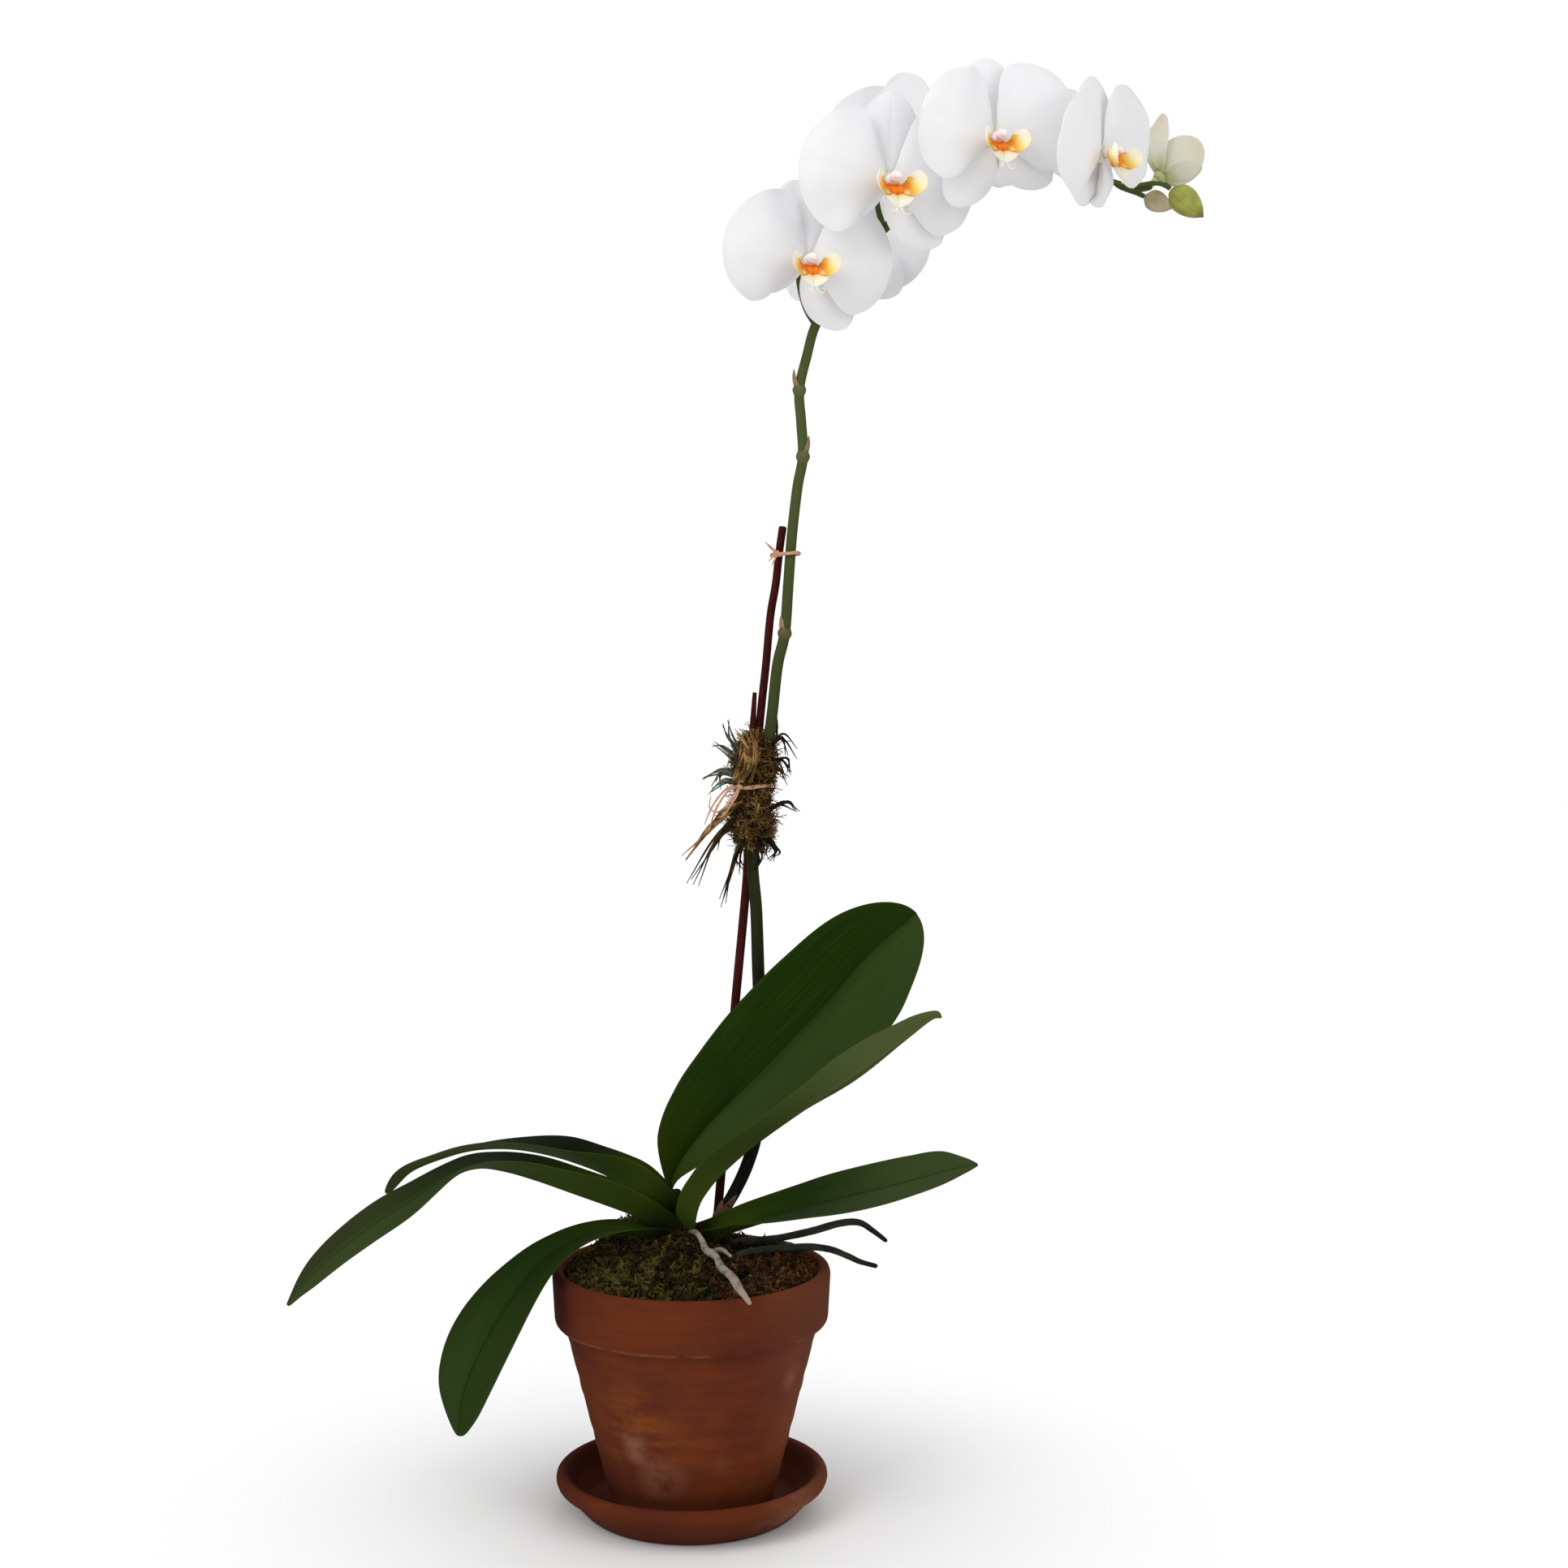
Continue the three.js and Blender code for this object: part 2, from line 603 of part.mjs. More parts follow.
// Half open: its tepals cup forward round the column.
function openingBody() {
  const cupped = (turn, length, width, cup) => {
    const angle = THREE.MathUtils.degToRad(turn);
    const out = length * Math.cos(THREE.MathUtils.degToRad(cup));
    const rise = length * Math.sin(THREE.MathUtils.degToRad(cup));
    const at = (reach, height) => [reach * Math.sin(angle), reach * Math.cos(angle), height];
    return blade({
      ...sepalShape,
      spine: [at(2, 0.5), at(out * 0.45, rise * 0.2), at(out * 0.8, rise * 0.6), at(out, rise)],
      faces: [[0, 0, 1], [-Math.sin(angle), -Math.cos(angle), 0.7]],
      left: width,
      right: width,
      thickness: 1.3,
      bow: -1,
    });
  };
  const neck = {
    points: [[0, 0, -2], [0, 0, -5], [0, 0, -STEM_SEAT * openingBloom.size]],
    radii: [3.4, 2.8, 2.2],
    sides: 6,
    samples: 2,
  };
  return geometryOf(joined([
    new THREE.IcosahedronGeometry(4.8, 0), bar(neck), cupped(0, 41, 13.5, 38),
    cupped(128, 28, 10, 58), cupped(-128, 28, 10, 58), cupped(72, 34, 14, 52), cupped(-72, 34, 14, 52),
  ]));
}

// A bud: a pointed egg along its own +Z, flat where its stalk meets it.
function budBody(length, radius) {
  const profile = [
    [0, 0], [0.3 * radius, 0], [0.78 * radius, 0.12 * length], [radius, 0.4 * length],
    [0.86 * radius, 0.68 * length], [0.45 * radius, 0.92 * length], [0, length],
  ];
  return lathe(profile, 10);
}

const buds = {
  bud_green: {
    base: [262, 5, 732], axis: [0.76, -0.1, -0.66], length: 23.5, radius: 7.6,
    stalk: [239, 15.5, 735.8], lead: [0.5, -0.8, -0.3], colour: 0x9aa33a,
  },
  bud_pale: {
    base: [250.5, 23, 731], axis: [0.88, 0.18, -0.35], length: 17, radius: 5.8,
    stalk: [232, 15, 737.6], lead: [0.6, 0.6, -0.4], colour: 0xa9935c,
  },
};

function budStalk({ base, axis, stalk, lead }) {
  const facing = vector(axis).normalize();
  return stalkBar(stalk, lead, vector(base), facing, [1.3, 1.2, 1.2, 1.4]);
}

// ---------- stake, ties and moss bundle ----------

const stakeBar = {
  points: [
    [6, 17, 66], [12, 23, 140], [16, 25, 185], [20, 25, 235], [24, 25, 281], [30, 27, 345],
    [31.5, 27, 368], [35, 23.5, 409], [39, 21, 450], [41.5, 20, 473], [44, 18, 500],
    [47, 17, 518], [49, 16, 536], [51, 15.5, 550],
  ],
  radii: [STAKE_RADIUS, STAKE_RADIUS, STAKE_RADIUS, STAKE_RADIUS - 0.2, STAKE_RADIUS - 0.3],
  sides: 8,
  samples: 12,
};

// The short second stick beside the stake, held in the bundle.
const stubBar = {
  points: [[31.5, 14, 398], [32.5, 15.5, 415], [34.2, 18, 440], [35.3, 19, 458]],
  radii: [1.9, 2, 1.8, 1.2],
  sides: 6,
  samples: 4,
};

// The raffia loops. halves are the half widths of a loop's oval and turn is how far the
// oval is turned about +Z.
const topTie = {
  centre: [52.3, 13.7, 534.5], halves: [8.7, 5.1], turn: -0.6, knot: [47.6, 10.6, 535],
  ends: [[[45.5, 9, 537], [42.2, 9, 539.6]], [[46.5, 8.8, 533], [44.2, 8.5, 529]]],
};

const bundleTie = {
  centre: [34.5, 19, 406], halves: [10.4, 9.2], turn: 0, knot: [31, 9.6, 406],
  ends: [[[27, 7, 408], [23.5, 6.5, 404.5]], [[33, 6.4, 402], [37, 6, 397]]],
};

// A closed oval bar round the centre of a tie.
function ovalBar({ centre, halves, turn }, radius, sides) {
  const points = [];
  for (let k = 0; k < 12; k += 1) {
    const angle = (2 * Math.PI * k) / 12;
    const [x, y] = [halves[0] * Math.cos(angle), halves[1] * Math.sin(angle)];
    points.push([
      centre[0] + x * Math.cos(turn) - y * Math.sin(turn),
      centre[1] + x * Math.sin(turn) + y * Math.cos(turn),
      centre[2] + 0.4 * Math.sin(angle + 1),
    ]);
  }
  return bar({ points, radii: [radius, radius], sides, samples: 14, loop: true });
}

// A loop of raffia with its knot and loose ends.
function raffiaTie(tie) {
  const { knot, ends } = tie;
  return [
    ovalBar(tie, RAFFIA_RADIUS, 4),
    new THREE.IcosahedronGeometry(1.7, 0).translate(...knot),
    ...ends.map((path) => bar({
      points: [knot, ...path], radii: [RAFFIA_RADIUS, 0.7, 0.5], sides: 4, samples: 3,
    })),
  ];
}

// A lump of dry moss: a rough ball stretched to three radii.
function mossLump(centre, radii, phase) {
  const ball = welded(new THREE.IcosahedronGeometry(1, 1));
  const position = ball.attributes.position;
  for (let i = 0; i < position.count; i += 1) {
    const p = new THREE.Vector3().fromBufferAttribute(position, i);
    const rough = 1 + 0.13 * Math.sin(6.1 * p.x + phase) * Math.cos(5.3 * p.z + 2 * p.y + phase);
    position.setXYZ(i, p.x * rough, p.y * rough, p.z * rough);
  }
  return ball.scale(...radii).translate(...centre);
}

// Loose strands: [start, way, end] on the outside of the bundle.
const strands = [
  [[27, 12, 412], [17, 9, 414], [10.5, 10, 410]],
  [[27, 14, 418], [20, 10, 426], [15, 11, 427]],
  [[28, 14, 428], [22, 13, 436], [20, 14, 443]],
  [[34, 10, 428], [31, 7, 438], [27, 9, 446]],
  [[42, 12, 426], [50, 10, 431], [55.5, 13, 427]],
  [[43, 14, 418], [52, 11, 421], [54, 12, 414]],
  [[40, 22, 430], [47, 24, 436], [46, 25, 444]],
  [[33, 27, 425], [30, 34, 430], [25, 36, 426]],
  [[42, 26, 412], [49, 31, 415], [53, 32, 409]],
  [[26, 24, 410], [18, 28, 412], [14, 28, 406]],
  [[25, 14, 388], [12, 11, 386], [-3, 10, 378]],
  [[26, 12, 382], [13, 9, 374], [1.5, 10, 364]],
  [[29, 11, 376], [22, 9, 360], [17, 12, 346]],
  [[30, 13, 372], [27, 9, 366], [29, 8, 358]],
  [[42, 12, 386], [51, 10, 388], [58, 13, 393]],
  [[42, 13, 378], [50, 10, 375], [54, 12, 381]],
  [[38, 26, 380], [44, 33, 374], [43, 34, 366]],
  [[27, 25, 384], [18, 31, 378], [13, 32, 370]],
];

// The bundle is cut clear of the stem and the sticks that it holds, and grooved for its tie.
function mossBundle() {
  const lumps = [
    mossLump([35.5, 18, 420], [11.5, 11.5, 16], 0.4),
    mossLump([33.5, 18.5, 388], [12, 11.5, 19], 2.1),
    bar({
      points: [[34, 18.5, 398], [34.5, 18.5, 405], [35, 18.5, 412]],
      radii: [9, 8.4, 9],
      sides: 10,
      samples: 2,
    }),
  ];
  const wisps = strands.map((points) => bar({
    points, radii: [1.3, 1, 0.7, 0.5], sides: 3, samples: 3,
  }));
  const held = joined([
    bar({ ...spikeBar, grow: GAP }), bar({ ...stakeBar, grow: GAP }), bar({ ...stubBar, grow: GAP }),
    ovalBar(bundleTie, RAFFIA_RADIUS + 1, 6),
  ]);
  return geometryOf(joined([...lumps, ...wisps]).subtract(held));
}

// ---------- aerial roots ----------

const roots = {
  root_front: {
    points: [
      [-5, -9, 152], [-1, -16, 156.5], [6.5, -24, 158], [9, -31, 155.5], [14.5, -41, 154.5],
      [18, -51, 151], [24, -63, 148.8], [28, -73, 145.2], [34, -84, 140],
    ],
    radii: [2, 2.2, 2.4, 2.4, 2.4, 1.6],
    sides: 7,
    samples: 12,
    colour: 0xa9a797,
  },
  root_front_short: {
    points: [[8, -13, 146], [13, -20, 152], [18, -30, 155], [23, -40, 154]],
    radii: [1.8, 2, 1.8, 1.2],
    sides: 6,
    samples: 6,
    colour: 0x9b9884,
  },
  root_right_upper: {
    points: [
      [14, 2, 141], [24, 9, 148.5], [48, 16, 150], [67, 20, 153], [83, 22, 157], [94, 22, 157.5],
      [102, 21, 153], [110, 20, 147],
    ],
    radii: [2.2, 2.2, 2.1, 2, 1.9, 1.5],
    sides: 7,
    samples: 13,
    colour: 0x4f5a4c,
  },
  root_right_lower: {
    points: [
      [18, -10, 140], [30, -6, 147], [60, 0, 149], [76, 2, 147.5], [87, 2, 143.5], [94, 1, 140.5],
      [104, 0, 138],
    ],
    radii: [2, 2.1, 2, 1.9, 1.7, 1.4],
    sides: 7,
    samples: 12,
    colour: 0x515b4a,
  },
};

// ---------- the whole plant ----------

const group = new THREE.Group();

function addPiece(name, geometry, { colour, roughness, position, turn }) {
  const piece = welded(geometry);
  piece.computeVertexNormals();
  const material = new THREE.MeshStandardMaterial({ color: colour, roughness, metalness: 0 });
  const mesh = new THREE.Mesh(piece, material);
  mesh.name = name;
  if (position) mesh.position.set(...position);
  if (turn) mesh.quaternion.copy(turn);
  group.add(mesh);
}

const clay = { colour: 0x8a4a33, roughness: 0.85 };
const leafGreen = { colour: 0x1f3a1a, roughness: 0.42 };
const white = { colour: 0xf2f2f0, roughness: 0.5 };
const lipYellow = { colour: 0xf0b040, roughness: 0.5 };
const stemGreen = { colour: 0x4c6136, roughness: 0.5 };
const raffia = { colour: 0xc9a27c, roughness: 0.8 };

addPiece('saucer', lathe(saucerProfile, SAUCER_SIDES), clay);
addPiece('pot', lathe(potProfile, POT_SIDES), clay);

const stakeHole = solid(bar({ ...stakeBar, grow: GAP }));
const mix = solid(lathe(mixProfile, 32)).subtract(stakeHole);
addPiece('potting_mix', geometryOf(mix), { colour: 0x3a2a1c, roughness: 0.95 });

const rootBars = Object.values(roots).map(({ colour, ...root }) => root);
const planted = joined([
  bar({ ...crownBar, grow: GAP }), bar({ ...spikeBar, grow: GAP }),
  ...rootBars.map((root) => bar({ ...root, grow: GAP })),
]);
const moss = solid(mossGeometry()).subtract(planted).subtract(stakeHole);
addPiece('moss_cover', geometryOf(moss), { colour: 0x4a4a1e, roughness: 0.95 });

// The crown is cut back where the leaves, the spike and the roots leave it.
const leafSockets = joined(Object.values(leaves).map((shape) => blade(shape, GAP)));
const crownSockets = joined([
  bar({ ...spikeBar, grow: GAP }), ...rootBars.map((root) => bar({ ...root, grow: GAP })),
]);
const crown = solid(bar(crownBar)).subtract(leafSockets).subtract(crownSockets);
addPiece('crown', geometryOf(crown), { colour: 0x5d6b38, roughness: 0.55 });

for (const [name, shape] of Object.entries(leaves)) addPiece(name, blade(shape), leafGreen);

for (const [name, { colour, ...root }] of Object.entries(roots)) {
  addPiece(name, bar(root), { colour, roughness: 0.6 });
}

// The spike carries its swollen nodes with their bracts, and every pedicel.
function nodeParts([centre, direction, out, radius]) {
  const axis = vector(direction).normalize();
  const at = (distance, outward) => vector(centre)
    .addScaledVector(axis, distance)
    .addScaledVector(vector(out), outward)
    .toArray();
  return [
    bar({
      points: [at(-4, 0), at(0, 0), at(4, 0)],
      radii: [radius - 0.4, radius + 1, radius - 0.4],
      sides: 6,
      samples: 2,
    }),
    bar({
      points: [at(-1, 0), at(4, 2), at(9, 3.4)],
      radii: [radius, 1.8, 0.5],
      sides: 4,
      samples: 2,
    }),
  ];
}

const spike = joined([
  bar(spikeBar), ...nodes.flatMap(nodeParts), ...blooms.map(pedicel), pedicel(openingBloom),
  ...Object.values(buds).map(budStalk),
]);
addPiece('flower_spike', geometryOf(spike), stemGreen);
addPiece('stake', bar(stakeBar), { colour: 0x5b2a20, roughness: 0.6 });
addPiece('stake_short', bar(stubBar), { colour: 0x5b2a20, roughness: 0.6 });

addPiece('moss_bundle', mossBundle(), { colour: 0x6b5a33, roughness: 0.95 });
addPiece('tie_bundle', geometryOf(joined(raffiaTie(bundleTie))), raffia);
addPiece('tie_top', geometryOf(joined(raffiaTie(topTie))), raffia);

const lipShape = bloomLip();
blooms.forEach((bloom, index) => {
  const { size } = bloom;
  const placed = { position: bloom.hub, turn: stance(bloom) };
  addPiece(`bloom_${index + 1}`, bloomBody(bloom).scale(size, size, size), { ...white, ...placed });
  addPiece(`lip_${index + 1}`, lipShape.clone().scale(size, size, size), { ...lipYellow, ...placed });
});

addPiece('bloom_opening', openingBody(), {
  colour: 0xdfe3c8, roughness: 0.5, position: openingBloom.hub, turn: stance(openingBloom),
});

for (const [name, { base, axis, length, radius, colour }] of Object.entries(buds)) {
  const turn = new THREE.Quaternion().setFromUnitVectors(vector([0, 0, 1]), vector(axis).normalize());
  addPiece(name, budBody(length, radius), { colour, roughness: 0.5, position: base, turn });
}

export default group;
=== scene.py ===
"""A white moth orchid in a clay pot: its looks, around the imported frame.

The sizes of the pieces are millimetres, and a mesh becomes metres when it is made.
The finishes and the studio are in metres. +Z is up, and the camera looks along +Y.
"""

import logging
import math
from dataclasses import dataclass, field
from enum import Enum
from functools import cached_property
from typing import Any, Sequence

import bmesh
import bpy
import numpy as np
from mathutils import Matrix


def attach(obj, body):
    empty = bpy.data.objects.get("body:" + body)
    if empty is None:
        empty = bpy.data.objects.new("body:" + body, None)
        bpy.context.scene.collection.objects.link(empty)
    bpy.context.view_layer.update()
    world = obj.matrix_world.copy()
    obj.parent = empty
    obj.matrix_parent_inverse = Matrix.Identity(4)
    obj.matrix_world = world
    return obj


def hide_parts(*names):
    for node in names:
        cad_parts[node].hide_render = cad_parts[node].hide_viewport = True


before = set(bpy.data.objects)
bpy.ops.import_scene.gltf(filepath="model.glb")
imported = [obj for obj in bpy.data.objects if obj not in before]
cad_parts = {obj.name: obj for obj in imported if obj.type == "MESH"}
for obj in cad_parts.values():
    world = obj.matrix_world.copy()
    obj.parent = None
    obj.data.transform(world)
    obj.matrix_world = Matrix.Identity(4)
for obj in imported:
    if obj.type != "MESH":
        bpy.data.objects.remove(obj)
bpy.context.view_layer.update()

MM = 0.001  # one millimetre in metres
GAP = 0.3  # clearance between pieces that touch
WELD = 1e-7  # corners closer than this, in metres, are one
SHARP = 50  # degrees from which an edge stays sharp
SAMPLES = 24  # samples of a curve between two of its points
ASIDE = (0.3, 0.9, 0.1)  # a direction that no bar follows

Vec = tuple[float, float, float]
Profile = Sequence[tuple[float, float]]
Colour = tuple[float, float, float, float]

log = logging.getLogger("orchid")


# ---------- curves ----------


def unit(vectors: np.ndarray) -> np.ndarray:
    """Scales a vector, or the vector in each row, to length one."""
    return vectors / np.linalg.norm(vectors, axis=-1, keepdims=True)


def circle(sides: int) -> np.ndarray:
    """Returns the angles of even steps round a circle."""
    return np.linspace(0, 2 * math.pi, sides, endpoint=False)


def spline(a: Any, b: Any, c: Any, d: Any, f: Any) -> Any:
    """Reads the smooth curve from b at f = 0 to c at f = 1, with a before it and d after it."""
    return b + 0.5 * f * (c - a + f * (2 * a - 5 * b + 4 * c - d + f * (3 * b - a - 3 * c + d)))


def along(stops: Sequence[float], t: np.ndarray) -> np.ndarray:
    """Reads a smooth curve through evenly spaced stops.

    Args:
        stops: The values at even steps from 0 to 1.
        t: Where to read them.

    Returns:
        The value at each t.
    """
    values = np.array([stops[0], *stops, stops[-1]], float)
    last = len(stops) - 1
    scaled = np.clip(np.asarray(t, float), 0, 1) * last
    i = np.minimum(scaled.astype(int), last - 1)
    return spline(values[i], values[i + 1], values[i + 2], values[i + 3], scaled - i)


@dataclass(frozen=True)
class SmoothPath:
    """A smooth curve through points, read by its share of length.

    Attributes:
        points: The points that it passes through.
        closed: Whether the last point leads back to the first.
    """

    points: tuple[Vec, ...]
    closed: bool = False

    @cached_property
    def dense(self) -> tuple[np.ndarray, np.ndarray]:
        """Samples the curve closely.

        Returns:
            The samples, and the length up to each of them.
        """
        stops = np.array(self.points, float)
        if self.closed:
            padded = np.vstack([stops[-1:], stops, stops[:2]])
        else:
            padded = np.vstack([2 * stops[:1] - stops[1:2], stops, 2 * stops[-1:] - stops[-2:-1]])
        f = np.linspace(0, 1, SAMPLES + 1)[:-1, None]
        parts = [spline(*padded[i : i + 4], f) for i in range(len(padded) - 3)]
        samples = np.vstack([*parts, padded[-2:-1]])
        steps = np.linalg.norm(np.diff(samples, axis=0), axis=1)
        return samples, np.concatenate([[0], np.cumsum(steps)])

    @property
    def length(self) -> float:
        """Length of the curve."""
        return float(self.dense[1][-1])

    def at(self, t: np.ndarray) -> np.ndarray:
        """Returns the place on the curve at each share of its length."""
        samples, reach = self.dense
        return np.stack([np.interp(t * reach[-1], reach, samples[:, k]) for k in range(3)], axis=-1)

    def tangent(self, t: np.ndarray) -> np.ndarray:
        """Directions of the curve.

        Args:
            t: Shares of its length.

        Returns:
            One direction for each share.
        """
        step = 0.006  # how far to either side a tangent reads
        if self.closed:
            return unit(self.at((t + step) % 1) - self.at((t - step) % 1))
        return unit(self.at(np.minimum(t + step, 1)) - self.at(np.maximum(t - step, 0)))


# ---------- shells ----------


@dataclass
class Shell:
    """A mesh in the making.

    Attributes:
        points: The place of each corner, in millimetres.
        faces: The corner numbers of each face.
        marks: Named values of the corners, which a finish reads.
    """

    points: np.ndarray
    faces: list[tuple[int, ...]]
    marks: dict[str, np.ndarray] = field(default_factory=dict)

    def placed(self, turn: np.ndarray, size: float, at: Sequence[float]) -> "Shell":
        """Returns a copy that is turned, scaled and moved, in that order."""
        return Shell(self.points @ turn.T * size + np.array(at), self.faces, dict(self.marks))

    def marked(self, **marks: float) -> "Shell":
        """Gives every corner the same named values, and returns the shell itself."""
        self.marks |= {name: np.full(len(self.points), float(value)) for name, value in marks.items()}
        return self

    def made(self, name: str) -> bpy.types.Object:
        """Makes a Blender object of the shell.

        Args:
            name: The object's name.

        Returns:
            The new object, at the origin.
        """
        mesh = bpy.data.meshes.new(name)
        mesh.from_pydata((self.points * MM).tolist(), [], self.faces)
        for mark, values in self.marks.items():
            layer = mesh.attributes.new(mark, "FLOAT", "POINT")
            layer.data.foreach_set("value", values.astype(np.float32))
        work = bmesh.new()
        work.from_mesh(mesh)
        bmesh.ops.remove_doubles(work, verts=work.verts, dist=WELD)
        bmesh.ops.delete(work, geom=[edge for edge in work.edges if edge.is_wire], context="EDGES")
        work.to_mesh(mesh)
        work.free()
        mesh.polygons.foreach_set("use_smooth", [True] * len(mesh.polygons))
        mesh.set_sharp_from_angle(angle=math.radians(SHARP))
        made = bpy.data.objects.new(name, mesh)
        bpy.context.scene.collection.objects.link(made)
        return made


def merged(shells: Sequence[Shell]) -> Shell:
    """Puts shells together in one.

    Args:
        shells: The shells.

    Returns:
        One shell with all their faces. A mark that a shell lacks is 0 there.
    """
    names = sorted({name for shell in shells for name in shell.marks})
    faces: list[tuple[int, ...]] = []
    start = 0
    for shell in shells:
        faces.extend(tuple(corner + start for corner in face) for face in shell.faces)
        start += len(shell.points)
    marks = {
        name: np.concatenate([shell.marks.get(name, np.zeros(len(shell.points))) for shell in shells])
        for name in names
    }
    return Shell(np.vstack([shell.points for shell in shells]), faces, marks)


def ring_faces(rings: int, sides: int, closed: bool = False) -> list[tuple[int, ...]]:
    """Faces between rings of corners that follow each other.

    Args:
        rings: How many rings there are.
        sides: How many corners each ring has.
        closed: Whether the last ring leads back to the first.

    Returns:
        The faces. They point outwards where the rings turn left about their way.
    """
    faces = []
    for i in range(rings if closed else rings - 1):
        a = i * sides
        b = ((i + 1) % rings) * sides
        for k in range(sides):
            n = (k + 1) % sides
            faces.append((a + k, a + n, b + n, b + k))
    return faces


def lathe(profile: Profile, sides: int, stray: float = 0) -> Shell:
    """Turns a closed profile about the Z axis.

    Args:
        profile: Radius and height pairs, anticlockwise in the half plane.
        sides: How many segments go round.
        stray: How far the wall strays from a true circle.

    Returns:
        The turned shell.
    """
    steady = 40  # the radius within which the wall strays less
    pairs = np.array(profile, float)
    angle = circle(sides)
    wobble = stray * (np.sin(2 * angle + 0.7) + 0.5 * np.sin(3 * angle))
    radius = pairs[:, :1] + wobble[None, :] * np.minimum(pairs[:, :1] / steady, 1)
    height = np.broadcast_to(pairs[:, 1:], radius.shape)
    points = np.stack([radius * np.cos(angle), radius * np.sin(angle), height], axis=-1)
    return Shell(points.reshape(-1, 3), ring_faces(len(pairs), sides, closed=True))


def rounded(profile: Profile, radius: float, steps: int = 4) -> Profile:
    """Rounds the corners of a closed profile.

    Args:
        profile: Its corners.
        radius: How far from a corner its rounding starts.
        steps: How many points each rounding gets.

    Returns:
        The rounded profile. Corners on the axis stay as they are.
    """
    most = 0.45  # the share of an edge that one rounding may take
    corners = np.array(profile, float)
    result: list[tuple[float, float]] = []
    for i, here in enumerate(corners):
        if here[0] == 0:
            result.append((0.0, float(here[1])))
            continue
        before, after = corners[i - 1], corners[(i + 1) % len(corners)]
        start = here + unit(before - here) * min(radius, np.linalg.norm(before - here) * most)
        end = here + unit(after - here) * min(radius, np.linalg.norm(after - here) * most)
        for f in np.linspace(0, 1, steps):
            point = (1 - f) ** 2 * start + 2 * f * (1 - f) * here + f * f * end
            result.append((float(point[0]), float(point[1])))
    return result


@dataclass(frozen=True)
class Bar:
    """A round bar along a smooth curve.

    Attributes:
        points: The points of its curve.
        radii: Its radii at even steps from start to end.
        sides: How many sides it has.
        rings: How many rings of corners it has.
        closed: Whether it is a loop.
        bumps: How far its radius strays, as a share.
        flat: Its thickness as a share of its width.
        dome: Depth of its round ends, as a share of the radius.
        seed: Seed for its bumps.
    """

    points: tuple[Vec, ...]
    radii: tuple[float, ...]
    sides: int = 16
    rings: int = 48
    closed: bool = False
    bumps: float = 0
    flat: float = 1
    dome: float = 0.5
    seed: int = 1

    def stations(self, length: float) -> tuple[np.ndarray, np.ndarray]:
        """Places the rings.

        Args:
            length: The length of its curve.

        Returns:
            The share of the length at each ring, and the share of the radius there.
        """
        if self.closed:
            return np.linspace(0, 1, self.rings, endpoint=False), np.ones(self.rings)
        most = 0.2  # the share of the length that one round end may take
        head = min(self.dome * self.radii[0] / length, most)
        tail = min(self.dome * self.radii[-1] / length, most)
        turns = np.array([0.12, 0.4, 0.7]) * math.pi / 2  # where the rings of a round end lie
        t = [head * (1 - np.cos(turns)), np.linspace(head, 1 - tail, self.rings)]
        t.append(1 - tail * (1 - np.cos(turns[::-1])))
        shrink = [np.sin(turns), np.ones(self.rings), np.sin(turns[::-1])]
        return np.concatenate(t), np.concatenate(shrink)

    def carried(self, tangents: np.ndarray) -> np.ndarray:
        """Carries a normal along the curve without twist.

        Args:
            tangents: The direction of the curve at each ring.

        Returns:
            A normal for each ring.
        """
        normals = [unit(np.cross(tangents[0], ASIDE))]
        for tangent in tangents[1:]:
            last = normals[-1]
            normals.append(unit(last - tangent * float(last @ tangent)))
        if not self.closed:
            return np.array(normals)
        first, last = normals[0], normals[-1]
        turn = math.atan2(float(np.cross(last, first) @ tangents[0]), float(last @ first))
        angle = (turn * np.arange(len(normals)) / len(normals))[:, None]
        return np.array(normals) * np.cos(angle) + np.cross(tangents, normals) * np.sin(angle)

    def shell(self) -> Shell:
        """Makes the bar, with round ends where it isn't a loop.

        Returns:
            Its shell, marked with how far along and how far round it a corner is.
        """
        path = SmoothPath(self.points, self.closed)
        t, shrink = self.stations(path.length)
        draw = np.random.default_rng(self.seed)
        waves = sum(np.sin(2 * math.pi * (n * t + draw.random())) / n**0.5 for n in (3, 7, 13, 23))
        radius = along(self.radii, t) * shrink * (1 + self.bumps * waves)
        tangents = path.tangent(t)
        normals = self.carried(tangents)
        binormals = np.cross(tangents, normals)
        angle = circle(self.sides)
        points = (
            path.at(t)[:, None, :]
            + (radius[:, None] * np.cos(angle))[..., None] * normals[:, None, :]
            + (radius[:, None] * self.flat * np.sin(angle))[..., None] * binormals[:, None, :]
        )
        faces = ring_faces(len(t), self.sides, self.closed)
        if not self.closed:
            end = (len(t) - 1) * self.sides
            faces.append(tuple(range(self.sides - 1, -1, -1)))
            faces.append(tuple(range(end, end + self.sides)))
        marks = {"along": np.repeat(t, self.sides), "around": np.tile(np.sin(angle), len(t))}
        return Shell(points.reshape(-1, 3), faces, marks)


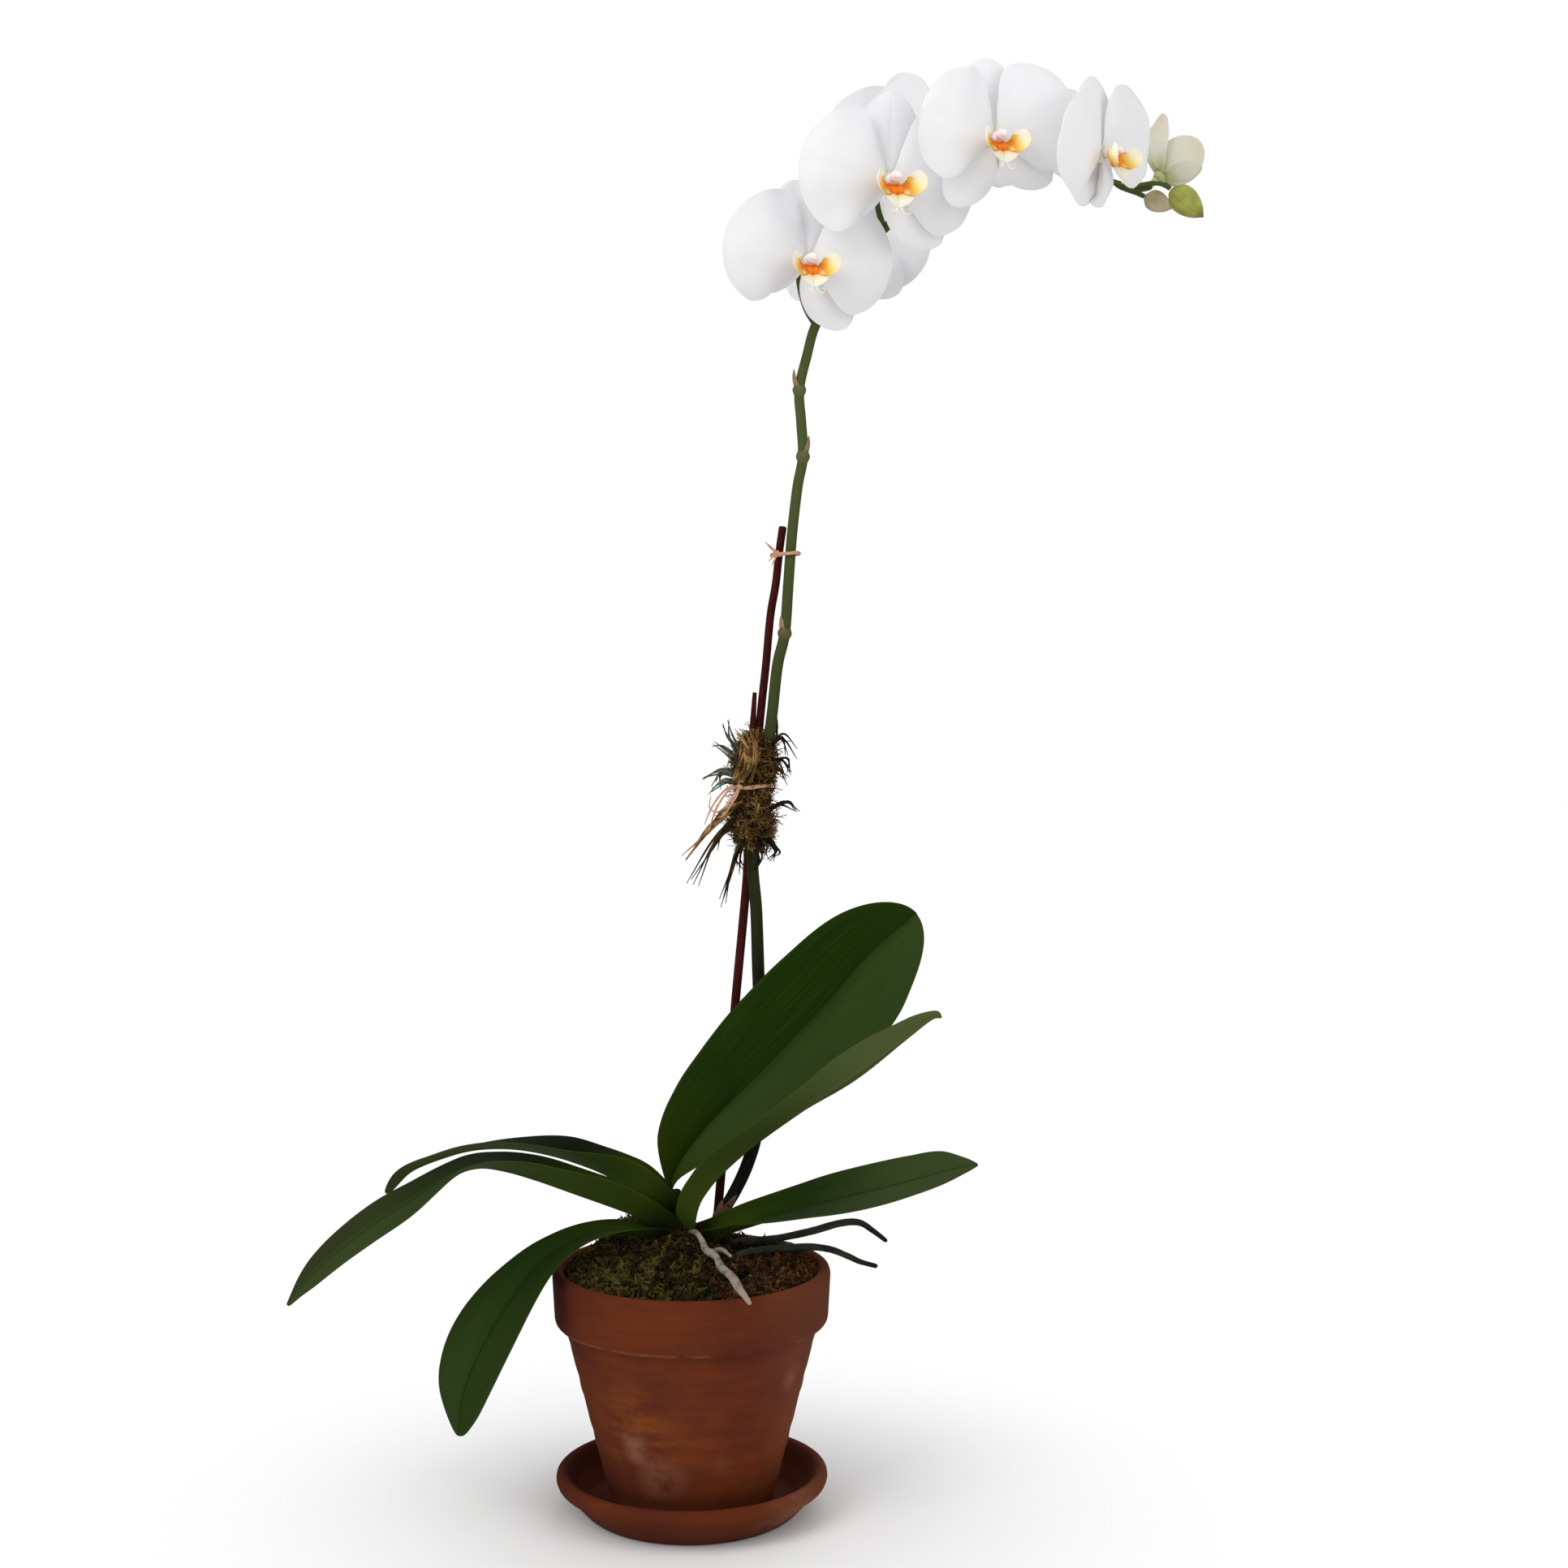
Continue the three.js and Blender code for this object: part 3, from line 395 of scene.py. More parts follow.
@dataclass(frozen=True)
class Blade:
    """A leaf, petal or sepal: a thin blade along a smooth spine.

    Attributes:
        spine: The points of its midrib, from base to tip.
        facing: The direction of its upper face at even steps from base to tip.
        widths: Its half widths on the left and on the right of its midrib.
        profile: The share of the half width at even steps from base to tip.
        right: The further share of the right half's width at even steps.
        thickness: Its thickness at the midrib.
        lift: Angle in degrees that both halves lift from the midrib, at even steps from base to tip.
        bow: How far the edges bend back at full width.
        wave: Height of the ripple along the edges.
        groove: Depth of the furrow along the midrib.
        furrow: Its half width, as a share of the blade's.
        round_tip: The share of its length over which its tip is rounded.
        edge: Thickness of its edge as a share of the thickness at the midrib.
        wane: The share of its thickness that it loses towards its tip.
        crowd: How closely its rows crowd towards the tip.
        rows: How many rows of faces it has.
        columns: How many columns of faces each side of it has.
        seed: Seed for its small waves.
    """

    spine: tuple[Vec, ...]
    facing: tuple[Vec, ...]
    widths: tuple[float, float]
    profile: tuple[float, ...]
    thickness: float
    right: tuple[float, ...] = (1, 1)
    lift: tuple[float, ...] = (0, 0)
    bow: float = 0
    wave: float = 0
    groove: float = 0
    furrow: float = 0.07
    round_tip: float = 0.12
    edge: float = 0.35
    wane: float = 0.35
    crowd: float = 1.5
    rows: int = 44
    columns: int = 22
    seed: int = 1

    def share(self, t: np.ndarray) -> np.ndarray:
        """Returns the share of the half width at each t, with a round tip."""
        tip = np.clip((t - 1 + self.round_tip) / self.round_tip, 0, 1)
        return along(self.profile, t) * np.sqrt(np.maximum(1 - tip**2, 1e-4))

    def shell(self) -> Shell:
        """Makes the blade as one closed skin.

        Returns:
            Its shell, marked with along, across and upper.
        """
        path = SmoothPath(self.spine)
        t = 1 - (1 - np.linspace(0, 1, self.rows + 1)) ** self.crowd
        tangent = path.tangent(t)
        facing = unit(np.stack([along(ways, t) for ways in zip(*self.facing)], axis=-1))
        side = unit(np.cross(tangent, facing))
        up = np.cross(side, tangent)
        across = np.linspace(-1, 1, self.columns + 1)
        left, right = self.widths[0], self.widths[1] * along(self.right, t)[:, None]
        half = np.where(across[None, :] < 0, left, right)
        reach = self.share(t)[:, None] * half * across[None, :]
        draw = np.random.default_rng(self.seed)
        turns = draw.uniform(0, 2 * math.pi, 4)
        ripple = (
            np.sin(9 * t[:, None] + 2 * across + turns[0])
            + 0.45 * np.sin(17 * t[:, None] - 3 * across + turns[1])
            + 0.3 * np.sin(4 * across + turns[2] + 5 * t[:, None])
        )
        lift = np.radians(along(self.lift, t))[:, None]
        rise = np.abs(reach) * np.sin(lift) - self.bow * self.share(t)[:, None] * across**2
        rise = rise + self.wave * across**2 * ripple * np.minimum(t / 0.2, 1)[:, None]
        furrow = np.exp(-((across / self.furrow) ** 2)) * np.minimum(self.share(t), 0.8)[:, None]
        rise = rise - self.groove * furrow
        middle = path.at(t)[:, None, :] + side[:, None, :] * (reach * np.cos(lift))[..., None]
        middle = middle + up[:, None, :] * rise[..., None]
        thin = np.sqrt(1 - (1 - self.edge**2) * across**2) * (1 - self.wane * t[:, None])
        skin = up[:, None, :] * (self.thickness / 2 * thin)[..., None]
        upper = middle + skin
        lower = (middle - skin)[:, ::-1, :]
        points = np.concatenate([upper, lower], axis=1)
        sides = 2 * self.columns + 2
        faces = ring_faces(self.rows + 1, sides) + self.end_faces(0, sides, flip=True)
        faces += self.end_faces(self.rows * sides, sides, flip=False)
        marks = {
            "along": np.repeat(t, sides),
            "across": np.tile(np.concatenate([across, across[::-1]]), len(t)),
            "upper": np.tile(np.repeat([1.0, 0.0], self.columns + 1), len(t)),
        }
        return Shell(points.reshape(-1, 3), faces, marks)

    def end_faces(self, start: int, sides: int, flip: bool) -> list[tuple[int, ...]]:
        """Returns the faces that close one end, which look back along the blade with flip."""
        faces = [(k, k + 1, sides - 2 - k, sides - 1 - k) for k in range(self.columns)]
        return [tuple(start + corner for corner in (face[::-1] if flip else face)) for face in faces]


def ball(centre: Vec, radii: Vec, rings: int = 12, sides: int = 20) -> Shell:
    """Makes a closed ellipsoid.

    Args:
        centre: Its centre.
        radii: Its three radii.
        rings: How many rings it has from pole to pole.
        sides: How many sides each ring has.

    Returns:
        Its shell.
    """
    polar = np.linspace(-math.pi / 2, math.pi / 2, rings + 1)
    angle = circle(sides)
    x = np.outer(np.cos(polar), np.cos(angle))
    y = np.outer(np.cos(polar), np.sin(angle))
    z = np.outer(np.sin(polar), np.ones(sides))
    points = np.stack([x, y, z], axis=-1).reshape(-1, 3) * np.array(radii) + np.array(centre)
    return Shell(points, ring_faces(rings + 1, sides))


# ---------- node graphs ----------


class Graph:
    """A node tree with one way to add a node."""

    def __init__(self, tree: bpy.types.NodeTree) -> None:
        """Clears the tree."""
        self.tree = tree
        tree.nodes.clear()

    def node(
        self,
        kind: str,
        settings: dict[str, Any] | None = None,
        sockets: dict[Any, Any] | None = None,
    ) -> bpy.types.Node:
        """Adds a node.

        Args:
            kind: The node's type.
            settings: Its settings, which are set first. A ramp's stops are pairs of place and colour.
            sockets: The value or the link of each named or numbered input.

        Returns:
            The new node.
        """
        made = self.tree.nodes.new(kind)
        for name, value in (settings or {}).items():
            if name == "stops":
                self.set_stops(made.color_ramp, value)
            else:
                setattr(made, name, value)
        for name, value in (sockets or {}).items():
            source = value.socket if isinstance(value, Value) else value
            if isinstance(source, bpy.types.NodeSocket):
                self.tree.links.new(source, made.inputs[name])
            else:
                made.inputs[name].default_value = source
        return made

    @staticmethod
    def set_stops(ramp: bpy.types.ColorRamp, stops: Sequence[tuple[float, Colour]]) -> None:
        """Sets the stops of a colour ramp.

        Args:
            ramp: The new ramp, which has two stops.
            stops: Two or more pairs of place and colour.
        """
        while len(ramp.elements) < len(stops):
            ramp.elements.new(1.0)
        for element, (place, colour) in zip(ramp.elements, stops):
            element.position = place
            element.color = colour

    def value(
        self, kind: str, settings: dict[str, Any], sockets: dict[Any, Any], output: Any = 0
    ) -> "Value":
        """Adds a node as above, and returns its output of that name or number."""
        return Value(self, self.node(kind, settings, sockets).outputs[output])


class Value:
    """An output in a node graph, with the operators that the finishes use."""

    def __init__(self, graph: Graph, socket: bpy.types.NodeSocket) -> None:
        """Wraps an output of the graph."""
        self.graph = graph
        self.socket = socket

    def math(self, operation: str, first: Any, second: Any = 0.0) -> "Value":
        """Adds a Math node and returns its result."""
        return self.graph.value("ShaderNodeMath", {"operation": operation}, {0: first, 1: second})

    def __add__(self, other: Any) -> "Value":
        """Returns self + other."""
        return self.math("ADD", self, other)

    def __radd__(self, other: Any) -> "Value":
        """Returns other + self."""
        return self.math("ADD", other, self)

    def __sub__(self, other: Any) -> "Value":
        """Returns self - other."""
        return self.math("SUBTRACT", self, other)

    def __rsub__(self, other: Any) -> "Value":
        """Returns other - self."""
        return self.math("SUBTRACT", other, self)

    def __mul__(self, other: Any) -> "Value":
        """Returns self * other."""
        return self.math("MULTIPLY", self, other)

    def __pow__(self, other: Any) -> "Value":
        """Returns self to the power of other."""
        return self.math("POWER", self, other)

    def __abs__(self) -> "Value":
        """Returns the size of self."""
        return self.math("ABSOLUTE", self)

    def sine(self) -> "Value":
        """Returns the sine of self."""
        return self.math("SINE", self)

    def step(self, low: float, high: float) -> "Value":
        """Returns a soft mask, 0 up to low and 1 from high."""
        sockets = {0: self, 1: low, 2: high, 3: 0.0, 4: 1.0}
        return self.graph.value("ShaderNodeMapRange", {"interpolation_type": "SMOOTHSTEP"}, sockets)


class Paint(Graph):
    """The node graph of a material."""

    def __init__(self, material: bpy.types.Material) -> None:
        """Starts an empty graph.

        Args:
            material: The material to paint.
        """
        material.use_nodes = True
        super().__init__(material.node_tree)
        self.place = self.value("ShaderNodeTexCoord", {}, {}, "Object")
        self.colour: Any = None

    def mark(self, name: str) -> Value:
        """Reads a named value of the corners."""
        return self.value("ShaderNodeAttribute", {"attribute_name": name}, {}, "Fac")

    def axes(self) -> tuple[Value, Value, Value]:
        """Returns the X, Y and Z of the place on the object, in metres."""
        parts = self.node("ShaderNodeSeparateXYZ", {}, {0: self.place})
        return tuple(Value(self, output) for output in parts.outputs)

    def stretched(self, scale: Vec) -> Value:
        """Returns the place on the object, scaled along each axis."""
        return self.value("ShaderNodeVectorMath", {"operation": "MULTIPLY"}, {0: self.place, 1: scale})

    def joined(self, x: Any, y: Any, z: Any) -> Value:
        """Joins three values in a vector."""
        return self.value("ShaderNodeCombineXYZ", {}, {0: x, 1: y, 2: z})

    def near(self, centre: Vec, radius: float) -> Value:
        """Makes a soft mask round a point.

        Args:
            centre: The point, in metres.
            radius: Where the mask ends, in metres.

        Returns:
            The mask, 1 at the point.
        """
        sockets = {0: self.place, 1: centre}
        away = self.value("ShaderNodeVectorMath", {"operation": "DISTANCE"}, sockets, "Value")
        return 1 - away.step(0.0, radius)

    def noise(self, scale: float, detail: float = 4, roughness: float = 0.55, at: Any = None) -> Value:
        """Adds a noise texture.

        Args:
            scale: Its scale.
            detail: Its detail.
            roughness: Its roughness.
            at: The vector that it reads, or None for the place on the object.

        Returns:
            Its value, from 0 to 1.
        """
        vector = self.place if at is None else at
        sockets = {"Vector": vector, "Scale": scale, "Detail": detail, "Roughness": roughness}
        return self.value("ShaderNodeTexNoise", {}, sockets, 0)

    def cells(self, scale: float) -> Value:
        """Adds a cell texture and returns the distance to the nearest cell's point."""
        return self.value("ShaderNodeTexVoronoi", {}, {"Vector": self.place, "Scale": scale})

    def mix(self, factor: Any, first: Any, second: Any) -> Value:
        """Mixes two colours by the share of the second."""
        return self.value("ShaderNodeMix", {"data_type": "RGBA"}, {0: factor, 6: first, 7: second}, 2)

    def ramp(self, factor: Value, stops: Sequence[tuple[float, Colour]]) -> Value:
        """Turns a value into a colour by pairs of place and colour."""
        return self.value("ShaderNodeValToRGB", {"stops": stops}, {0: factor})

    def lay(self, share: Any, tint: Any) -> None:
        """Lays a tint over the colour so far."""
        self.colour = self.mix(share, self.colour, tint)

    def finish(self, roughness: Any, height: Any, depth: float, **fixed: Any) -> None:
        """Ends the graph in one shader of its colour.

        Args:
            roughness: The roughness.
            height: The height that the bump reads.
            depth: The depth of the bump, in metres.
            **fixed: Fixed values of the shader's other inputs, with _ for a space.
        """
        relief = {"Strength": 1.0, "Distance": depth, "Height": height}
        bump = self.value("ShaderNodeBump", {}, relief, "Normal")
        sockets = {"Base Color": self.colour, "Roughness": roughness, "Normal": bump}
        sockets.update({name.replace("_", " "): value for name, value in fixed.items()})
        shader = self.node("ShaderNodeBsdfPrincipled", {}, sockets)
        self.node("ShaderNodeOutputMaterial", {}, {"Surface": shader.outputs[0]})


# ---------- finishes ----------


def rgb(red: float, green: float, blue: float) -> Colour:
    """A colour as the shaders take it.

    Args:
        red: Its red from 0 to 255, as a screen shows it.
        green: Its green.
        blue: Its blue.

    Returns:
        The linear colour with an alpha of 1.
    """
    shares = [part / 255 for part in (red, green, blue)]
    linear = [part / 12.92 if part <= 0.04045 else ((part + 0.055) / 1.055) ** 2.4 for part in shares]
    return (linear[0], linear[1], linear[2], 1.0)


@dataclass(frozen=True)
class Finish:
    """A procedural finish.

    Attributes:
        name: The material's name.
        slot: The record's material slot that it stands for. It is not used.
    """

    name: str
    slot: str

    def material(self) -> bpy.types.Material:
        """Makes the material, or finds it if it is there.

        Returns:
            The material.
        """
        label = f"{self.name}_finish"
        found = bpy.data.materials.get(label)
        if found:
            return found
        made = bpy.data.materials.new(label)
        self.paint(Paint(made))
        return made

    def paint(self, graph: Paint) -> None:
        """Builds the finish on the empty graph."""
        raise NotImplementedError


@dataclass(frozen=True)
class Clay(Finish):
    """Thrown terracotta with chalky bloom, warm patches, a damp foot and a painted highlight along the
    collar's lower edge.

    Attributes:
        chalk: Centre and radius of each chalky patch, in metres.
        damp: Heights in metres between which the damp foot dries.
        dusk: How much darker it is.
    """

    chalk: tuple[tuple[Vec, float], ...]
    damp: tuple[float, float] = (0.004, 0.03)
    dusk: float = 0.0

    def paint(self, graph: Paint) -> None:
        """Builds the node graph.

        Args:
            graph: The empty graph.
        """
        x, _, z = graph.axes()
        patches = graph.noise(16, 5).step(0.36, 0.66)
        streaks = graph.noise(1, 5, at=graph.stretched((18, 18, 200)))
        graph.colour = graph.mix(patches, rgb(92, 42, 28), rgb(112, 52, 22))
        graph.lay(graph.noise(42, 4).step(0.5, 0.75) * 0.5, rgb(90, 44, 28))
        graph.lay(streaks.step(0.35, 0.7) * 0.3, rgb(74, 34, 24))
        bloom = graph.noise(38, 6, 0.65)
        chalky = graph.noise(24, 6).step(0.6, 0.85) * 0.35
        for centre, radius in self.chalk:
            chalky = chalky + graph.near(centre, radius) * bloom.step(0.32, 0.7)
        smear = graph.noise(1, 4, at=graph.stretched((30, 30, 90))).step(0.4, 0.6)
        graph.lay(graph.near((-0.03, -0.055, 0.06), 0.045) * smear * 0.7, rgb(134, 72, 26))
        graph.lay(x.step(0.03, 0.065) * 0.3, rgb(132, 84, 62))
        graph.lay(chalky * 0.6, rgb(172, 124, 100))
        graph.lay(self.dusk, rgb(54, 22, 8))
        graph.lay(z.step(0.1, 0.112) * 0.25, rgb(58, 26, 20))
        # painted highlight: a thin pale line along the collar's lower edge, where light catches its
        # ridge
        wear_and_highlight = z.step(0.1075, 0.1085) * (1 - z.step(0.109, 0.1105)) * graph.noise(50, 3).step(0.42, 0.6)
        graph.lay(wear_and_highlight * 0.3, rgb(168, 104, 74))
        wet = (1 - z.step(*self.damp)) * graph.noise(30, 3).step(0.15, 0.6)
        graph.lay(wet * 0.75, rgb(66, 28, 14))
        grain = graph.noise(900, 3)
        specks = graph.cells(420).step(0.0, 0.12)
        graph.lay((1 - specks) * 0.35, rgb(92, 42, 30))
        height = grain * 0.35 + streaks * 0.9 + specks * 0.3
        graph.finish(0.9 - wet * 0.3, height, 0.0004, Specular_IOR_Level=0.06)


@dataclass(frozen=True)
class Leaf(Finish):
    """A waxy leaf with a midrib, parallel veins and a duller underside, with painted light, shade and
    sheen.

    Attributes:
        face: Colour of the upper face.
        bright: Colour that breaks through in patches.
        back: Colour of the underside.
    """

    face: Colour = rgb(28, 46, 9)
    bright: Colour = rgb(48, 68, 20)
    back: Colour = rgb(60, 74, 32)

    def paint(self, graph: Paint) -> None:
        """Builds the node graph.

        Args:
            graph: The empty graph.
        """
        across, length, upper = graph.mark("across"), graph.mark("along"), graph.mark("upper")
        lengthways = graph.joined(across * 9, length * 2.2, upper * 3)
        streaks = graph.noise(2.4, 4, at=lengthways)
        mottle = graph.noise(34, 4)
        face = graph.mix(streaks.step(0.35, 0.72) * 0.3, self.face, self.bright)
        face = graph.mix(mottle.step(0.45, 0.8) * 0.35, face, rgb(20, 38, 10))
        # painted light: pales the right half of the blade, the half that faces the light
        face = graph.mix(across.step(-0.12, 0.3) * graph.mark("glow"), face, rgb(62, 80, 40))
        # painted shade: darkens the right half of the blade, the half that lies in shade
        face = graph.mix(across.step(-0.1, 0.3) * graph.mark("gloom"), face, rgb(7, 14, 4))
        back = graph.mix(mottle * 0.6, self.back, rgb(42, 56, 18))
        graph.colour = graph.mix(upper.step(0.3, 0.7), back, face)
        # painted sheen: greyer and paler towards the tip
        graph.lay(length.step(0.4, 0.8) * graph.mark("outer"), rgb(88, 100, 58))
        rib = 1 - abs(across).step(0.008, 0.05)
        graph.lay(rib * 0.5, rgb(16, 30, 8))
        base = (1 - length.step(0.1, 0.4)) * length.step(0.0, 0.06)
        graph.lay(base * 0.6, rgb(52, 68, 10))
        edge = abs(across).step(0.95, 1.0)
        graph.lay(edge * 0.4, rgb(60, 66, 30))
        # painted shade: the foot of each blade near black, where shade falls among the leaf bases
        graph.lay((1 - length.step(0.02, 0.13)) * 0.85, rgb(10, 18, 5))
        veins = (across * 150).sine() * 0.5 + (across * 61).sine() * 0.5
        height = veins * 0.15 + graph.noise(160, 3) * 0.5
        roughness = 0.4 + mottle * 0.1 + (1 - upper.step(0.3, 0.7)) * 0.12
        graph.finish(roughness, height, 0.00012, Specular_IOR_Level=0.01)


@dataclass(frozen=True)
class Petal(Finish):
    """A thin petal with soft veins that run out from its base.

    Attributes:
        body: Its colour.
        vein: Colour of its veins and hollows.
        throat: Colour at its base.
        back: Colour of its back.
        tip: Colour towards its tip.
        throat_reach: The share of its length that the throat colours.
    """

    body: Colour = rgb(247, 247, 250)
    vein: Colour = rgb(226, 226, 234)
    throat: Colour = rgb(226, 234, 190)
    back: Colour = rgb(242, 242, 246)
    tip: Colour = rgb(250, 250, 252)
    throat_reach: float = 0.12

    def paint(self, graph: Paint) -> None:
        """Builds the node graph.

        Args:
            graph: The empty graph.
        """
        across, length, upper = graph.mark("across"), graph.mark("along"), graph.mark("upper")
        stray = graph.noise(3, 3, at=graph.joined(across * 1.5, length * 2, 0.0))
        fan = across * (1.5 - length * 0.35) + (stray - 0.5) * 0.12
        lines = abs((fan * 34).sine())
        veins = (1 - lines.step(0.0, 0.5)) * (1 - length.step(0.6, 1.0))
        veins = veins * graph.noise(60, 2).step(0.3, 0.7)
        graph.colour = graph.mix(upper.step(0.3, 0.7), self.back, self.body)
        graph.lay(length.step(0.5, 1.0) * 0.6, self.tip)
        graph.lay(veins * 0.25, self.vein)
        graph.lay((1 - length.step(0.0, self.throat_reach)) * 0.85, self.throat)
        graph.lay(graph.mark("blush") * 0.8, rgb(240, 222, 234))
        height = veins * -0.1 + graph.noise(420, 3) * 0.15 + graph.noise(60, 2) * 0.5
        graph.finish(
            0.5 + veins * 0.1, height, 0.0001, Specular_IOR_Level=0.2,
            Subsurface_Weight=0.6, Subsurface_Scale=0.003, Subsurface_Radius=(1.0, 1.0, 1.0),
        )


class Lobe(Enum):
    """The parts of a lip, as its finish tells them apart."""

    MIDDLE = 0.0
    SIDE = 1.0
    CALLUS = 2.0
    TENDRIL = 3.0


@dataclass(frozen=True)
class Lip(Finish):
    """The lip: orange at its heart, yellow side lobes with red lines, a pale arrow."""

    def paint(self, graph: Paint) -> None:
        """Builds the node graph.

        Args:
            graph: The empty graph.
        """
        lobe, length, across = graph.mark("lobe"), graph.mark("along"), graph.mark("across")
        side = lobe.step(0.4, 0.6) * (1 - lobe.step(1.4, 1.6))
        callus = lobe.step(1.4, 1.6) * (1 - lobe.step(2.4, 2.6))
        tendril = lobe.step(2.4, 2.6)
        specks = 1 - graph.cells(900).step(0.15, 0.5)
        middle = graph.ramp(length, [
            (0.0, rgb(250, 124, 16)), (0.25, rgb(250, 146, 44)), (0.45, rgb(246, 196, 116)),
            (0.62, rgb(244, 228, 178)), (0.85, rgb(240, 236, 218)),
        ])
        wing = graph.ramp(length, [
            (0.0, rgb(242, 112, 16)), (0.28, rgb(248, 170, 40)), (0.48, rgb(242, 212, 96)),
            (0.68, rgb(248, 240, 204)), (0.92, rgb(248, 246, 232)),
        ])
        lines = (1 - abs((across * 11).sine()).step(0.0, 0.5)) * (1 - length.step(0.3, 0.55))
        wing = graph.mix(lines * 0.5, wing, rgb(206, 92, 22))
        graph.colour = graph.mix(side, middle, wing)
        graph.lay(callus, rgb(252, 138, 18))
        graph.lay(specks * (1 - length.step(0.2, 0.5)) * 0.5, rgb(190, 84, 14))
        graph.lay(tendril, rgb(238, 232, 214))
        graph.finish(
            0.42, graph.noise(700, 3), 0.0001, Specular_IOR_Level=0.25,
            Subsurface_Weight=0.2, Subsurface_Scale=0.001, Subsurface_Radius=(1.0, 0.9, 0.7),
        )


@dataclass(frozen=True)
class Stem(Finish):
    """A fibrous green stem that darkens towards its foot.

    Attributes:
        top: Colour high on the stem.
        foot: Colour at its foot.
        heights: Heights in metres between which the colour changes.
    """

    top: Colour = rgb(76, 88, 46)
    foot: Colour = rgb(8, 8, 5)
    heights: tuple[float, float] = (0.2, 0.66)

    def paint(self, graph: Paint) -> None:
        """Builds the node graph.

        Args:
            graph: The empty graph.
        """
        _, _, z = graph.axes()
        length, around, bract = graph.mark("along"), graph.mark("around"), graph.mark("bract")
        fibres = graph.noise(3, 4, at=graph.joined(around * 8, length * 40, 0.0))
        graph.colour = graph.mix(z.step(*self.heights), self.foot, self.top)
        graph.lay(fibres.step(0.4, 0.75) * 0.25, rgb(58, 60, 30))
        graph.lay(graph.noise(60, 4).step(0.55, 0.8) * 0.3, rgb(66, 40, 30))
        husk = graph.mix(fibres.step(0.3, 0.7), rgb(120, 100, 70), rgb(164, 140, 104))
        graph.lay(bract, husk)
        graph.lay((1 - z.step(0.18, 0.3)) * bract * 0.75, rgb(66, 40, 38))
        height = fibres * 0.5 + graph.noise(500, 3) * 0.3
        graph.finish(0.5 + fibres * 0.16, height, 0.0002, Specular_IOR_Level=0.05)


@dataclass(frozen=True)
class Root(Finish):
    """The spongy skin of an aerial root.

    Attributes:
        body: Its colour.
        wear_and_highlight: Colour of its patches.
        tip: Colour at its tip.
    """

    body: Colour
    wear_and_highlight: Colour
    tip: Colour

    def paint(self, graph: Paint) -> None:
        """Builds the node graph.

        Args:
            graph: The empty graph.
        """
        length, around = graph.mark("along"), graph.mark("around")
        patches = graph.noise(140, 5).step(0.42, 0.68)
        lines = graph.noise(4, 5, at=graph.joined(around * 3, length * 60, 0.0))
        graph.colour = graph.mix(patches, self.body, self.wear_and_highlight)
        graph.lay(length.step(0.7, 1.0), self.tip)
        graph.lay(lines.step(0.55, 0.8) * 0.5, self.wear_and_highlight)
        graph.lay((1 - length.step(0.0, 0.22)) * 0.8, rgb(70, 62, 46))
        height = lines * 0.6 + graph.noise(700, 4) * 0.5
        graph.finish(0.72, height, 0.0004, Specular_IOR_Level=0.15)


@dataclass(frozen=True)
class Fibre(Finish):
    """Loose fibres or sprigs, whose shades gather in patches.

    Attributes:
        stops: Colours by the shade mark and the patches, from 0 to 1.
        patch: Scale of the patches.
        rough: Its roughness.
        drift: How much the shade grows to the right, for each metre.
        painted_hollow_shade: How dark the painted shade is in the gaps between its fibres.
    """

    stops: tuple[tuple[float, Colour], ...]
    patch: float = 60
    rough: float = 0.85
    drift: float = 0
    painted_hollow_shade: float = 0

    def paint(self, graph: Paint) -> None:
        """Builds the node graph.

        Args:
            graph: The empty graph.
        """
        x, _, _ = graph.axes()
        gathered = graph.noise(self.patch, 3) - 0.5
        graph.colour = graph.ramp(graph.mark("shade") + gathered * 0.5 + x * self.drift, self.stops)
        fine = graph.noise(900, 3)
        graph.lay(fine.step(0.4, 0.8) * 0.3, self.stops[0][1])
        # painted shade: dark patches where shade falls in the gaps between fibres and sprigs
        graph.lay(graph.noise(190, 3).step(0.44, 0.62) * self.painted_hollow_shade, self.stops[0][1])
        graph.finish(self.rough, fine, 0.0003, Specular_IOR_Level=0.08)


@dataclass(frozen=True)
class Stick(Finish):
    """A stained stick with long grain.

    Attributes:
        body: Its colour.
        dark: Colour of the grain.
    """

    body: Colour = rgb(78, 20, 18)
    dark: Colour = rgb(34, 8, 8)

    def paint(self, graph: Paint) -> None:
        """Builds the node graph.

        Args:
            graph: The empty graph.
        """
        _, _, z = graph.axes()
        length, around = graph.mark("along"), graph.mark("around")
        grain = graph.noise(3, 5, at=graph.joined(around * 9, length * 24, 0.0))
        graph.colour = graph.mix(grain.step(0.35, 0.7), self.body, self.dark)
        graph.lay((1 - z.step(0.16, 0.32)) * 0.6, rgb(18, 5, 5))
        graph.lay(graph.noise(40, 3).step(0.55, 0.8) * 0.5, rgb(60, 26, 20))
        graph.finish(0.5 + grain * 0.2, grain, 0.0003, Specular_IOR_Level=0.06)


